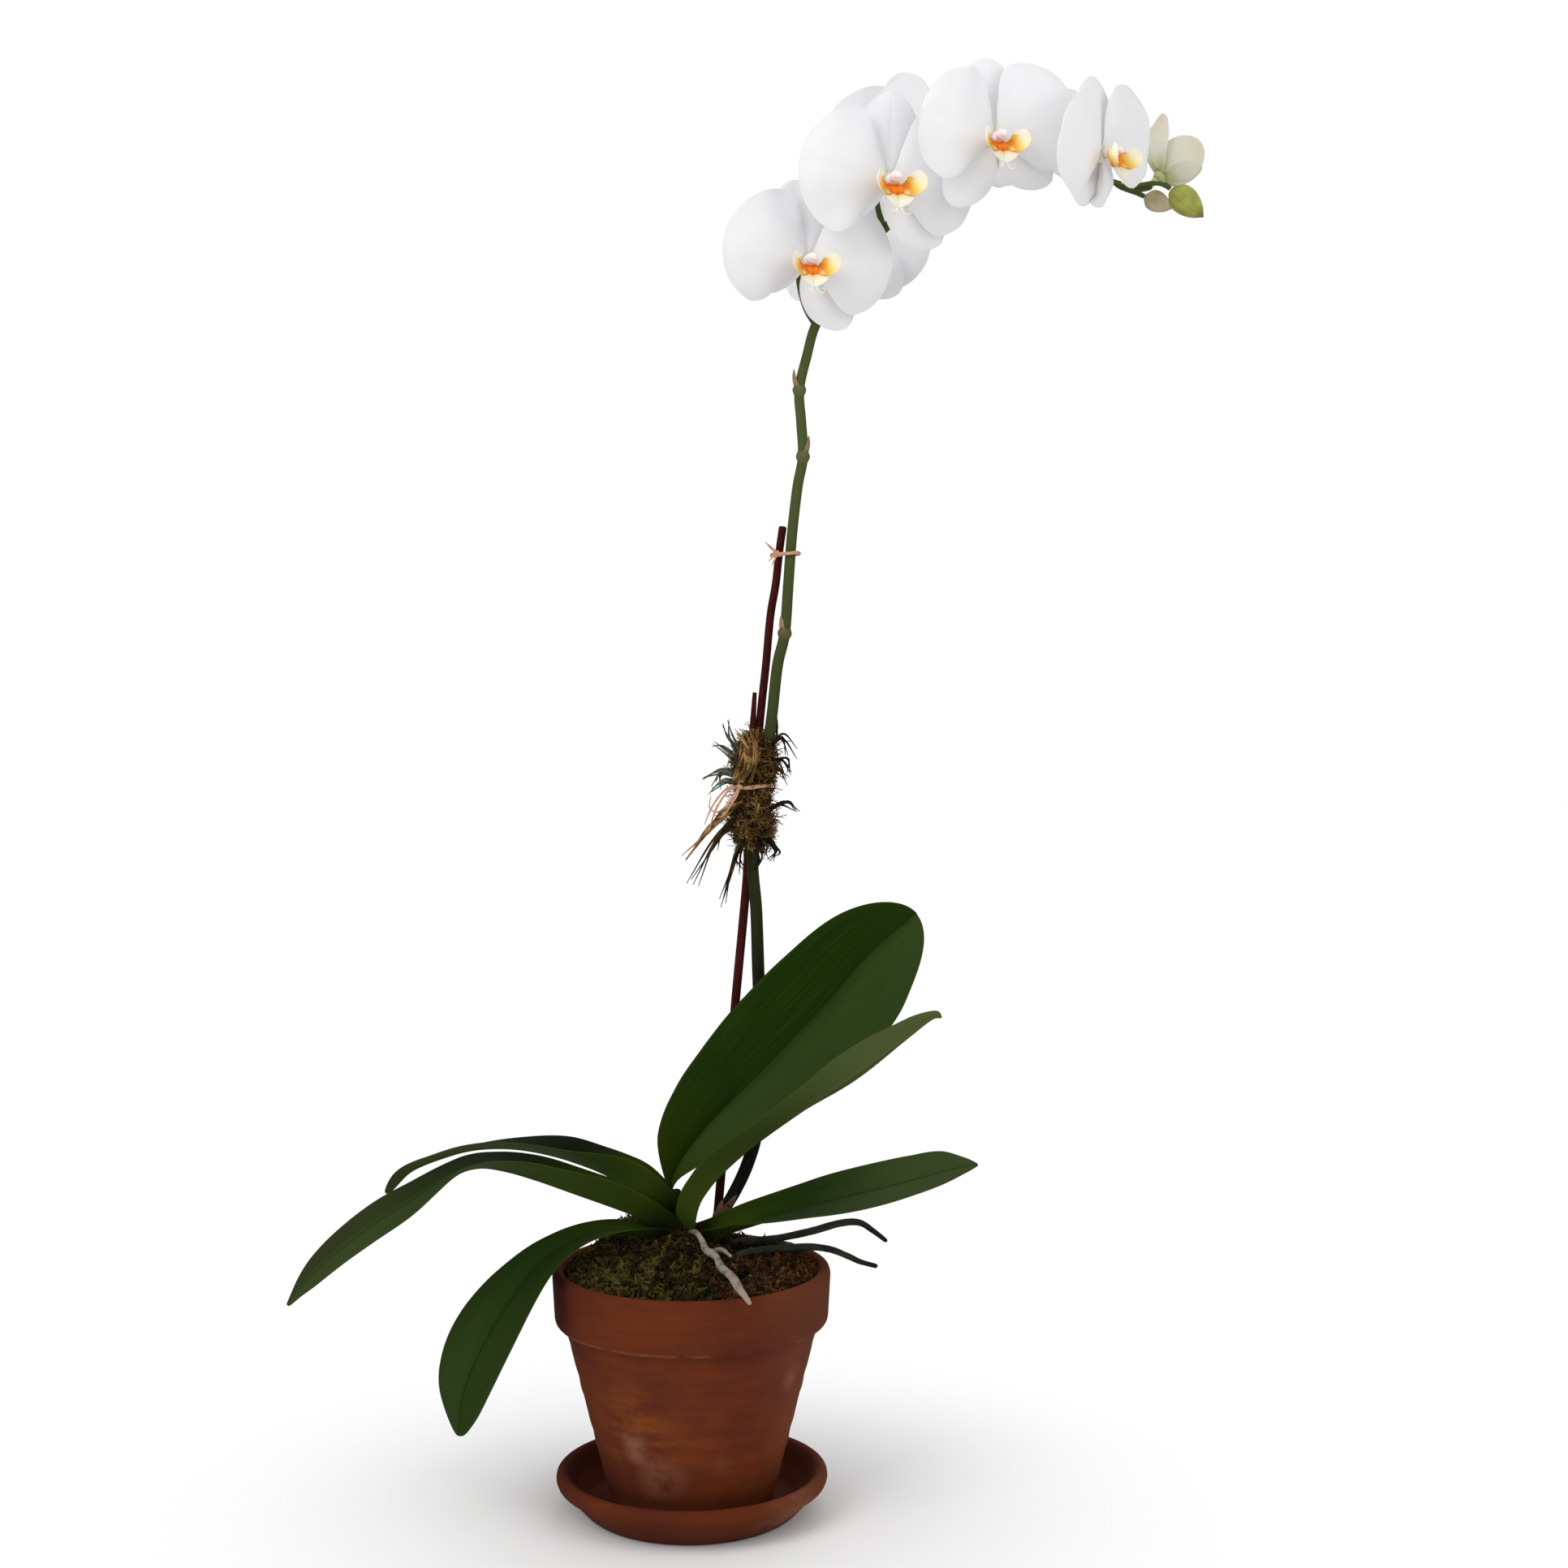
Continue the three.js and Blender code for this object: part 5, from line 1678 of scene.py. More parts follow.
@dataclass(frozen=True)
class OpenBloom(Stance):
    """An open bloom.

    Attributes:
        cup: How far the tips of its petals come forward.
        fall: Reach of its lower sepals.
        turns: Directions of upper sepal, right and left petal, right and left lower sepal.
        petal_reach: Reach of its petals.
        petal_halves: Half widths of the upper and the lower side of its petals.
        sepal_reach: Reach of its upper sepal.
        sepal_halves: Half widths of its upper and its lower sepals.
    """

    cup: float = 0
    fall: float = 42
    turns: tuple[float, ...] = (0, 80, -80, 130, -130)
    petal_reach: float = 47.5
    petal_halves: tuple[float, float] = (31, 30)
    sepal_reach: float = 43
    sepal_halves: tuple[float, float] = (16, 14.5)

    def tepal(self, turn: float, length: float, heights: Sequence[float], **shape: Any) -> Shell:
        """Makes a tepal.

        Args:
            turn: Its direction in degrees clockwise from up.
            length: Its reach from the centre.
            heights: Heights of its spine over the bloom's plane.
            **shape: The other fields of its blade.

        Returns:
            Its shell in the bloom's own frame.
        """
        angle = math.radians(turn)
        reaches = np.linspace(2, length, len(heights))
        sin, cos = math.sin(angle), math.cos(angle)
        spine = tuple((r * sin, r * cos, float(h)) for r, h in zip(reaches, heights))
        seed = int(abs(turn) * 7 + abs(self.hub[0]))
        return Blade(spine, ((0, 0, 1), (0, 0, 1)), thickness=0.8, seed=seed, **shape).shell()

    def petal(self, turn: float) -> Shell:
        """Makes a broad petal, with its wider half on the upper side.

        Args:
            turn: Its direction in degrees clockwise from up.

        Returns:
            Its shell.
        """
        heights = (1.2, 4.2, 5 + self.cup / 4, 4 + self.cup / 2, 1.5 + self.cup)
        return self.tepal(
            turn, self.petal_reach, heights, widths=self.petal_halves[:: 1 if turn > 0 else -1],
            profile=(0.13, 0.5, 0.84, 0.99, 1, 1, 1, 1), bow=3, wave=0.9, groove=0.4,
            round_tip=0.58, crowd=1.7, rows=48, columns=32,
        )

    def sepal(self, turn: float, length: float, width: float) -> Shell:
        """Makes a sepal.

        Args:
            turn: Its direction in degrees clockwise from up.
            length: Its reach from the centre.
            width: Its half width.

        Returns:
            Its shell.
        """
        return self.tepal(
            turn, length, (-0.5, -1.8, -2.8, -5), widths=(width, width), bow=2, wave=0.5, groove=0.4,
            profile=(0.34, 0.7, 0.93, 1, 0.99, 0.96, 0.94), round_tip=0.5, crowd=1.6, rows=40,
            columns=24,
        )

    def body(self) -> Shell:
        """Makes the five tepals, the hub, the neck and the column.

        Returns:
            The placed shell.
        """
        neck = Bar(((0, 0, -2), (0, 0, -6), (0, 0, -self.seat)), (4.2, 2.8, 2.2), rings=14, dome=0.2)
        column = Bar(
            ((0, 0.5, 1), (0, 1.4, 7), (0, 1.8, 12)), (3.4, 2.7, 2.5, 2.9, 2.5), sides=24, rings=24,
        )
        cap = ball((0, 2.2, 13.1), (2.1, 1.9, 1.6))
        hub = ball((0, 0, -0.6), (5, 5, 4.2))
        parts = [
            hub.marked(upper=1), neck.shell().marked(along=0.02),
            column.shell().marked(upper=1, along=0.5, blush=1),
            cap.marked(upper=1, along=0.5, blush=0.6),
            self.sepal(self.turns[0], self.sepal_reach, self.sepal_halves[0]),
            *(self.sepal(turn, self.fall, self.sepal_halves[1]) for turn in self.turns[3:]),
            *(self.petal(turn) for turn in self.turns[1:3]),
        ]
        return self.placed(merged(parts))

    def lip(self) -> Shell:
        """Makes the three-lobed lip with its callus and tendrils.

        Returns:
            The placed shell.
        """
        middle = Blade(
            ((0, -2.25, 5.8), (0, -6.5, 10.5), (0, -9.6, 14.6), (0, -13.6, 16.4)),
            ((0, 1, 0.2), (0, 0.45, 0.9)), (8.4, 8.4), (0.4, 0.5, 0.86, 1, 0.86, 0.6), 1,
            lift=(18, 18), groove=0.4, round_tip=0.3, rows=34, columns=24,
        )
        parts = [middle.shell().marked(lobe=Lobe.MIDDLE.value)]
        for sign in (1, -1):
            wing = Blade(
                ((sign * 2.6, -5, 9), (sign * 7.4, -4, 11.5), (sign * 10.6, -0.5, 14),
                 (sign * 10.4, 4.8, 15.5)),
                ((-sign * 0.7, 0.8, 0.5), (-sign * 0.8, -0.1, 0.7)), (6.6, 6.6),
                (0.4, 0.85, 1, 1, 0.95), 0.8, bow=-2, round_tip=0.5, rows=30, columns=20, seed=3,
            )
            parts.append(wing.shell().marked(lobe=Lobe.SIDE.value))
            tendril = Bar(
                ((sign * 1, -13.2, 16.2), (sign * 2.2, -16.2, 17.6), (sign * 4.3, -16.4, 19.6),
                 (sign * 4.2, -14.4, 20.6), (sign * 3.2, -14.2, 19.8)),
                (0.6, 0.4, 0.3, 0.26, 0.18), sides=10, rings=40,
            )
            parts.append(tendril.shell().marked(lobe=Lobe.TENDRIL.value))
            parts.append(ball((sign * 1.5, -5.4, 10.8), (2.2, 2.2, 2.7)).marked(lobe=Lobe.CALLUS.value))
        return self.placed(merged(parts))


@dataclass(frozen=True)
class Bud:
    """A closed bud: a pointed egg with three seams.

    Attributes:
        base: Where its stalk meets it.
        axis: The direction in which it points.
        length: Its length.
        radius: Its greatest radius.
        stalk: Where its stalk leaves the spike.
        lead: The direction in which the stalk leaves.
    """

    base: Vec
    axis: Vec
    length: float
    radius: float
    stalk: Vec
    lead: Vec

    def body(self) -> Shell:
        """Makes the bud.

        Returns:
            The placed shell.
        """
        t = np.linspace(0, 1, 48)
        radius = self.radius * along((0.3, 0.84, 1, 0.97, 0.8, 0.5, 0.05), t)
        radius[0] = radius[-1] = 0
        angle = circle(72)
        seam = np.exp(-((np.abs((angle * 3 / (2 * math.pi)) % 1 - 0.5) / 0.05) ** 2))
        swell = 1 + 0.04 * np.cos(3 * angle + math.pi)
        ring = radius[:, None] * (swell - 0.08 * seam)[None, :]
        height = np.broadcast_to((self.length * t)[:, None], ring.shape)
        points = np.stack([ring * np.cos(angle), ring * np.sin(angle), height], axis=-1).reshape(-1, 3)
        shell = Shell(points, ring_faces(len(t), len(angle)), {"along": np.repeat(t, len(angle))})
        aim = unit(np.array(self.axis, float))
        side = unit(np.cross((0, 1, 0), aim))
        return shell.placed(np.stack([side, np.cross(aim, side), aim], axis=1), 1, self.base)

    def pedicel(self) -> Shell:
        """Makes its stalk."""
        aim = unit(np.array(self.axis, float))
        return stalk_bar(self.stalk, self.lead, np.array(self.base), aim, (1.3, 1.2, 1.2, 1.4))


@dataclass(frozen=True)
class OpeningBloom(Stance):
    """The half open bloom, whose tepals cup forward round the column.

    Attributes:
        tepals: Direction, length, half width and slant of each tepal.
    """

    tepals: tuple[tuple[float, ...], ...] = (
        (0, 41, 13.5, 38), (128, 28, 10, 58), (-128, 28, 10, 58), (72, 34, 14, 52), (-72, 34, 14, 52),
    )

    def cupped(self, turn: float, length: float, width: float, cup: float) -> Shell:
        """Makes a cupped tepal.

        Args:
            turn: Its direction in degrees clockwise from up.
            length: Its length.
            width: Its half width.
            cup: Its slant towards the viewer, in degrees.

        Returns:
            Its shell.
        """
        angle = math.radians(turn)
        out, rise = length * math.cos(math.radians(cup)), length * math.sin(math.radians(cup))
        stops = ((2, 0.5), (out * 0.45, rise * 0.2), (out * 0.8, rise * 0.6), (out, rise))
        spine = tuple((r * math.sin(angle), r * math.cos(angle), h) for r, h in stops)
        return Blade(
            spine, ((0, 0, 1), (-math.sin(angle), -math.cos(angle), 0.7)), (width, width),
            (0.36, 0.7, 0.93, 1, 0.98, 0.95, 0.92), 1.0, bow=-1.5, wave=0.4, groove=0.3, round_tip=0.45,
            rows=36, columns=20, seed=int(abs(turn)),
        ).shell()

    def body(self) -> Shell:
        """Makes the whole bloom.

        Returns:
            The placed shell.
        """
        end = -self.seat * self.size
        neck = Bar(((0, 0, -1), (0, 0, -5), (0, 0, end)), (3.8, 2.8, 2.2), rings=14, dome=0.2)
        column = Bar(((0, 0.4, 1), (0, 1, 8)), (3, 2.6), rings=14)
        parts = [
            ball((0, 0, 0), (4.8, 4.8, 4.6)).marked(along=0.05), neck.shell().marked(along=0.02),
            column.shell().marked(upper=1, along=0.7), *(self.cupped(*tepal) for tepal in self.tepals),
        ]
        return self.placed(merged(parts))


@dataclass(frozen=True)
class StemNode:
    """A swollen node of the spike with its bract.

    Attributes:
        centre: Its centre.
        way: Direction of the stem there.
        out: Direction in which the bract stands out.
        radius: Radius of the stem there.
    """

    centre: Vec
    way: Vec
    out: Vec
    radius: float

    def at(self, distance: float, outward: float) -> Vec:
        """Returns the place that far along the stem and out towards the bract."""
        ahead = unit(np.array(self.way, float)) * distance
        return tuple((np.array(self.centre) + ahead + np.array(self.out) * outward).tolist())

    def shell(self) -> Shell:
        """Makes the swelling and the bract.

        Returns:
            Its shell.
        """
        swelling = Bar(
            (self.at(-4, 0), self.at(0, 0), self.at(4, 0)),
            tuple(self.radius + swell for swell in (-0.5, 0.5, 1, 0.3, -0.5)),
            sides=20, rings=20, dome=0.1,
        )
        back = tuple(-part for part in self.out)
        bract = Blade(
            (self.at(-2.5, 1.6), self.at(2, 3.4), self.at(6, 4), self.at(10, 3.4)), (back, back),
            (3.4, 3.4), (0.9, 1, 0.8, 0.4), 0.7, lift=(30, 30), round_tip=0.3, rows=18, columns=12,
        )
        return merged([swelling.shell().marked(bract=0.25), bract.shell().marked(bract=1)])


@dataclass
class FlowerSpike:
    """The spike with its nodes and stalks, and every flower and bud on it.

    Attributes:
        path: The points of the spike.
        radii: Its radii from foot to tip.
        nodes: Its swollen nodes.
        blooms: The open blooms, four in front and three behind.
        opening: The half open bloom.
        green_bud: The larger bud.
        pale_bud: The smaller bud.
        stem_green: Finish of the spike.
        white: Finish of the open blooms.
        half_open: Finish of the half open bloom.
        lip_yellow: Finish of the lips.
        bud_green: Finish of the larger bud.
        bud_pale: Finish of the smaller bud.
    """

    path: tuple[Vec, ...] = (
        (4, 9, 148), (10, 12, 155), (16, 15, 164), (24, 16, 177), (31, 18, 192), (36, 21, 210),
        (38, 24, 239), (38, 25, 271), (37, 24, 304), (36, 21, 336), (34, 19, 364), (37, 18, 391),
        (42, 16, 423), (45, 15, 446), (48, 14, 473), (52, 13, 491), (54, 12, 518), (56, 11, 545),
        (59, 10, 571), (62, 9, 588), (61, 8, 607), (60, 7, 624), (64, 6, 642), (69, 5, 659),
        (79, 4, 673), (89, 3, 686), (97, 2, 698), (106, 0, 710), (119, 0, 720), (133, 0, 729),
        (146, 0, 738), (160, 1, 744), (177, 3, 747), (195, 7, 748), (208, 10, 745), (227, 14, 739),
        (242, 16, 735),
    )
    radii: tuple[float, ...] = (3.3, 3.7, 3.6, 3.4, 3.2, 3.1, 2.9, 2.8, 2.6, 2.4, 2, 1.5)
    nodes: tuple[StemNode, ...] = (
        StemNode((52, 13, 491), (0.15, 0, 1), (-0.9, -0.3, 0.3), 3),
        StemNode((62, 9, 588), (0.02, 0, 1), (0.9, -0.2, 0.3), 2.9),
        StemNode((60, 7, 624), (0, 0, 1), (-0.9, -0.2, 0.3), 2.8),
        StemNode((18, 15, 166.5), (0.45, 0, 0.9), (0.75, -0.6, 0.1), 3.2),
        StemNode((15.5, 14.5, 163), (0.4, 0, 0.9), (-0.75, -0.6, 0.2), 3.2),
    )
    blooms: tuple[OpenBloom, ...] = (
        OpenBloom((64, -26, 689), 15, 6, 1, (69, 5, 659), (-0.6, -0.5, 0.6), cup=-1,
                  turns=(-10, 84, -72, 144, -98)),
        OpenBloom((107, -37, 729.5), 18, 6, 1.07, (106, 0, 710), (-0.3, -0.5, 0.6), cup=-1,
                  turns=(2, 80, -80, 134, -106)),
        OpenBloom((162.5, -39, 751), 18, 6, 0.97, (164, 1.4, 745), (0.4, -0.6, 0.5), cup=5,
                  turns=(-9, 60, -74, 118, -148)),
        OpenBloom((219, -34, 744), 50, 6, 0.93, (208, 10, 745), (0.1, -0.7, 0.5), cup=2,
                  turns=(-14, 60, -84, 152, -160), fall=31),
        OpenBloom((86, 29, 706), 172, 6, 1, (89, 3, 686), (0, 0.5, 0.7),
                  turns=(5, 82, -80, 136, -134)),
        OpenBloom((120, 48, 759), 178, 4, 1.02, (127, 0, 725), (0, 0.5, 0.8), cup=2,
                  turns=(0, 70, -78, 138, -140)),
        OpenBloom((192, 32, 762), 186, 10, 0.9, (183, 4.5, 747.5), (0, 0.6, 0.6), cup=1,
                  turns=(6, 86, -78, 128, -118)),
    )
    opening: OpeningBloom = OpeningBloom(
        (257.6, 15, 740), 115, -37, 0.84, (238, 15.4, 736), (0.8, 0, -0.4),
    )
    green_bud: Bud = Bud(
        (262, 5, 732), (0.76, -0.1, -0.66), 23.5, 7.6, (239, 15.5, 735.8), (0.5, -0.8, -0.3),
    )
    pale_bud: Bud = Bud(
        (250.5, 23, 731), (0.88, 0.18, -0.35), 17, 5.8, (232, 15, 737.6), (0.6, 0.6, -0.4),
    )
    stem_green: Stem = Stem("stem_green", "stem_green")
    white: Petal = Petal("petal_white", "petal_white")
    half_open: Petal = Petal(
        "opening_petal", "opening_petal", body=rgb(226, 226, 208), vein=rgb(186, 180, 150),
        throat=rgb(176, 180, 110), back=rgb(212, 212, 192), tip=rgb(200, 176, 150), throat_reach=0.4,
    )
    lip_yellow: Lip = Lip("lip_yellow", "lip_yellow")
    bud_green: Skin = Skin("bud_green", "bud_green")
    bud_pale: Skin = Skin(
        "bud_pale", "bud_pale", rgb(196, 186, 150), rgb(168, 150, 112), rgb(168, 140, 120),
    )

    def stem(self) -> Shell:
        """Makes the spike with its nodes and every stalk.

        Returns:
            Its shell.
        """
        spike = Bar(self.path, self.radii, sides=24, rings=420, bumps=0.008)
        flowers = [*self.blooms, self.opening, self.green_bud, self.pale_bud]
        swellings = [node.shell() for node in self.nodes]
        return merged([spike.shell(), *swellings, *(flower.pedicel() for flower in flowers)])

    def build(self) -> None:
        """Makes and dresses the spike, the blooms and the buds."""
        dressed("spike_stem", self.stem(), self.stem_green, "flower_spike")
        for number, bloom in enumerate(self.blooms, start=1):
            dressed(f"white_bloom_{number}", bloom.body(), self.white, f"bloom_{number}")
            dressed(f"yellow_lip_{number}", bloom.lip(), self.lip_yellow, f"lip_{number}")
        dressed("opening_tepals", self.opening.body(), self.half_open, "bloom_opening")
        dressed("larger_bud", self.green_bud.body(), self.bud_green, "bud_green")
        dressed("smaller_bud", self.pale_bud.body(), self.bud_pale, "bud_pale")


# ---------- stakes, moss bundle and ties ----------


@dataclass(frozen=True)
class Raffia:
    """A loop of raffia with its knot and loose ends.

    Attributes:
        centre: Centre of the loop.
        halves: Half widths of its oval.
        turn: How far the oval is turned about Z, in radians.
        knot: Where the knot sits.
        ends: The points of each loose end after the knot.
        width: Half width of the raffia.
    """

    centre: Vec
    halves: tuple[float, float]
    turn: float
    knot: Vec
    ends: tuple[tuple[Vec, ...], ...]
    width: float = 0.8

    def loop(self, lift: float, slack: float) -> Shell:
        """Makes one turn of the loop.

        Args:
            lift: How far it lies above the centre.
            slack: How far outside the oval it lies.

        Returns:
            Its shell.
        """
        angle = circle(12)
        x, y = (self.halves[0] + slack) * np.cos(angle), (self.halves[1] + slack) * np.sin(angle)
        cos, sin = math.cos(self.turn), math.sin(self.turn)
        z = 0.4 * np.sin(angle + 1) + lift * np.cos(angle * 2 + lift)
        points = np.stack([x * cos - y * sin, x * sin + y * cos, z], axis=-1) + np.array(self.centre)
        return Bar(
            tuple(map(tuple, points)), (self.width * 0.8,) * 2, sides=10, rings=120, closed=True,
            bumps=0.08, seed=int(10 + 3 * abs(lift)),
        ).shell()

    def shell(self) -> Shell:
        """Makes the whole tie.

        Returns:
            Its shell.
        """
        parts = [self.loop(-0.7, 0), self.loop(0.1, 0.35), self.loop(0.8, 0.1)]
        parts.append(ball(self.knot, (1.8, 1.5, 1.6)))
        x, y, z = self.knot
        across = ((x - 1.4, y - 0.7, z + 1.2), (x, y - 0.7, z), (x + 1.4, y - 0.7, z - 1.2))
        parts.append(Bar(across, (0.7, 0.95, 0.7), sides=10, rings=14, bumps=0.05).shell())
        for number, path in enumerate(self.ends):
            for spread in (-0.5, 0.35):
                points = [self.knot]
                for k, (x, y, z) in enumerate(path, start=1):
                    points.append((x + spread * k, y, z - 1.4 * spread * k))
                parts.append(Bar(
                    tuple(points), (self.width, 0.6, 0.5, 0.25), sides=8, rings=26, flat=0.5,
                    bumps=0.06, seed=number + 5,
                ).shell())
        return merged(parts).marked(shade=0.5)


def thorn(points: Sequence[Sequence[float]], radius: float) -> Shell:
    """Makes a fine tapered fibre with few faces.

    Args:
        points: Its middle line.
        radius: Its radius at its foot.

    Returns:
        Its shell.
    """
    middle = np.array(points, float)
    aside = (0.31, 0.87, 0.38)  # a direction that no fibre follows
    way = unit(np.gradient(middle, axis=0))
    side = unit(np.cross(way, aside))
    over = np.cross(way, side)
    width = radius * np.linspace(1, 0.45, len(middle))[:-1, None, None]
    angle = np.array([0, 2 * math.pi / 3, 4 * math.pi / 3])
    rings = middle[:-1, None] + width * (
        side[:-1, None] * np.cos(angle)[:, None] + over[:-1, None] * np.sin(angle)[:, None]
    )
    last = len(rings) - 1
    tip = 3 * len(rings)
    faces = ring_faces(len(rings), 3) + [(2, 1, 0)]
    faces += [(3 * last + k, 3 * last + (k + 1) % 3, tip) for k in range(3)]
    return Shell(np.vstack([rings.reshape(-1, 3), middle[-1:]]), faces).marked(shade=0.5)


@dataclass
class Supports:
    """The two sticks, the dry moss bundle round them and the raffia ties.

    Attributes:
        stake: The long stick.
        stub: The short stick.
        lumps: Centre, radii and phase of each lump of the bundle.
        strands: Shade, start, way and end of the longer loose strands.
        split: How many finer strands each of them is split in.
        density: Fine fibres for each square metre of the lumps.
        top_tie: The upper raffia tie.
        bundle_tie: The raffia tie round the bundle.
        stake_red: Finish of the sticks.
        raffia: Finish of the ties.
        dry_moss: Finish of the bundle.
    """

    stake: Bar = Bar(
        ((6, 17, 66), (12, 23, 140), (16, 25, 185), (20, 25, 235), (24, 25, 281), (30, 27, 345),
         (31.5, 27, 368), (35, 23.5, 409), (39, 21, 450), (41.5, 20, 473), (44, 18, 500),
         (47, 17, 518), (49, 16, 536), (51, 15.5, 550)),
        (2.5, 2.5, 2.5, 2.3, 2.2), sides=20, rings=200, bumps=0.01, dome=0.35,
    )
    stub: Bar = Bar(
        ((31.5, 14, 398), (32.5, 15.5, 415), (34.2, 18, 440), (35.3, 19, 458)), (1.9, 2, 1.8, 1.2),
        sides=18, rings=40, bumps=0.02, dome=0.35,
    )
    lumps: tuple[tuple[Vec, Vec, float], ...] = (
        ((35.5, 18, 420), (11.5, 11.5, 16), 0.4), ((33.5, 18.5, 388), (12, 11.5, 19), 2.1),
        ((34.5, 18.5, 405), (9.2, 9, 9), 1.2),
    )
    strands: tuple[tuple[float, Vec, Vec, Vec], ...] = (
        (0.58, (26, 7.5, 409), (30, 5.5, 418), (34, 8, 434)),
        (0.62, (29, 6.5, 409), (33.5, 5, 420), (36, 9, 438)),
        (0.52, (25, 9, 410), (28, 6, 421), (31, 9, 436)),
        (0.6, (33, 6.5, 409), (36, 5.5, 422), (35, 11, 440)),
        (0.5, (39, 8, 410), (33, 5, 421), (29, 9, 431)),
        (0.56, (36, 9, 424), (31, 7, 430), (26, 9, 438)),
        (0.94, (27, 12, 412), (17, 9, 414), (8, 10, 411)),
        (0.9, (27, 14, 418), (20, 10, 426), (13, 11, 430)),
        (0.96, (26, 12, 408), (18, 8, 407), (10, 10, 402)),
        (0.92, (28, 14, 422), (21, 12, 434), (18, 14, 442)),
        (0.2, (42, 12, 426), (50, 10, 433), (56, 13, 425)),
        (0.14, (43, 14, 418), (52, 11, 421), (55, 12, 412)),
        (0.25, (40, 22, 430), (47, 24, 436), (46, 25, 444)),
        (0.55, (33, 27, 425), (30, 34, 430), (25, 36, 426)),
        (0.4, (42, 26, 412), (49, 31, 415), (53, 32, 409)),
        (0.9, (26, 24, 410), (18, 28, 412), (14, 28, 406)),
        (0.55, (27, 12, 396), (12, 10, 384), (-4, 10, 366)),
        (0.3, (27, 12, 392), (14, 9, 378), (1, 10, 352)),
        (0.6, (28, 10, 398), (18, 7, 392), (8, 9, 380)),
        (0.35, (29, 11, 380), (22, 9, 362), (17, 12, 342)),
        (0.1, (30, 10, 376), (26, 8, 367), (28, 8, 358)),
        (0.1, (36, 9, 375), (38, 7, 366), (35, 8, 359)),
        (0.12, (42, 12, 392), (52, 10, 396), (58, 13, 390)),
        (0.1, (42, 13, 378), (47, 10, 371), (44, 12, 364)),
        (0.4, (38, 26, 380), (44, 33, 374), (43, 34, 366)),
        (0.9, (27, 25, 384), (18, 31, 378), (13, 32, 370)),
    )
    split: int = 4
    density: float = 620000
    top_tie: Raffia = Raffia(
        (52.3, 13.7, 534.5), (8.7, 5.1), -0.6, (47.6, 10.6, 535),
        (((45.5, 9, 537), (42.2, 9, 539.6)), ((46.5, 8.8, 533), (44.2, 8.5, 529))),
    )
    bundle_tie: Raffia = Raffia(
        (34.5, 19, 406), (11, 11), 0, (27, 8.5, 406),
        (((20, 6.5, 404), (13, 7, 394), (9, 8, 383)),
         ((24, 6, 400), (17, 6, 391), (12, 7, 392), (13, 7, 398))),
    )
    stake_red: Stick = Stick("stake_red", "stake_red")
    raffia: Fibre = Fibre("raffia_tan", "raffia", stops=(
        (0.0, rgb(140, 92, 70)), (0.5, rgb(198, 152, 122)), (1.0, rgb(220, 184, 152)),
    ), patch=200, rough=0.7)
    dry_moss: Fibre = Fibre("dry_moss", "dry_moss", stops=(
        (0.0, rgb(16, 10, 6)), (0.15, rgb(34, 24, 12)), (0.35, rgb(52, 40, 20)),
        (0.5, rgb(98, 74, 38)), (0.62, rgb(184, 142, 86)), (0.72, rgb(70, 60, 26)),
        (0.85, rgb(66, 74, 54)), (1.0, rgb(104, 112, 92)),
    ), patch=90, painted_hollow_shade=0.55)

    def clump(self) -> Shell:
        """Makes the rough lumps of the bundle.

        Returns:
            Their shell.
        """
        parts = []
        for centre, radii, phase in self.lumps:
            round_ball = ball((0, 0, 0), (1, 1, 1), 30, 44)
            x, y, z = round_ball.points.T
            rough = 1 + 0.13 * np.sin(6.1 * x + phase) * np.cos(5.3 * z + 2 * y + phase)
            rough = rough + 0.05 * np.sin(17 * x + 3 * z) * np.sin(19 * z + phase) * np.cos(15 * y)
            points = round_ball.points * (rough * 0.9)[:, None] * np.array(radii) + np.array(centre)
            parts.append(Shell(points, round_ball.faces).marked(shade=0.1))
        return merged(parts)

    def wisps(self) -> Shell:
        """Makes the longer loose strands, each of them split in finer ones.

        Returns:
            Their shell.
        """
        draw = np.random.default_rng(21)
        parts = []
        for shade, *stops in self.strands:
            for _ in range(self.split):
                stray = draw.normal(0, 1, (3, 3)) * np.array([[0.9], [1.3], [1.7]])
                points = tuple(map(tuple, np.array(stops) + stray))
                shell = Bar(points, (0.8, 0.7, 0.5, 0.2), sides=6, rings=20, bumps=0.08).shell()
                parts.append(shell.marked(shade=shade + float(draw.uniform(-0.06, 0.06))))
        return merged(parts)

    @staticmethod
    def fibre(index: int) -> bpy.types.Object:
        """Makes a curled dry fibre.

        Args:
            index: Which of the fibres it is.

        Returns:
            The fibre, grown along +Z.
        """
        draw = np.random.default_rng(60 + index)
        lean = np.cumsum(draw.uniform(-2.4, 2.4, (5, 2)), axis=0)
        points = [(x, y, -0.5 + 1.1 * k - 0.1 * k * k) for k, (x, y) in enumerate(lean.tolist())]
        return loose(thorn(points, 0.32).made(f"dry_fibre_{index}"))

    def bundle(self) -> bpy.types.Object:
        """Makes the whole moss bundle.

        Returns:
            Its object.
        """
        clump = self.clump().made("bundle_clump")
        fibres = [self.fibre(index) for index in range(6)]
        scatter = Scatter("bundle_scatter", fibres, self.dry_moss)
        hair = scatter.over("bundle_hair", clump, {
            "Density": self.density * 1, "Least Size": 0.6, "Most Size": 1.5,
            "Lean": 1.2, "Seed": 5,
        })
        return joined("dry_moss_bundle", [clump, hair, self.wisps().made("bundle_wisps")])

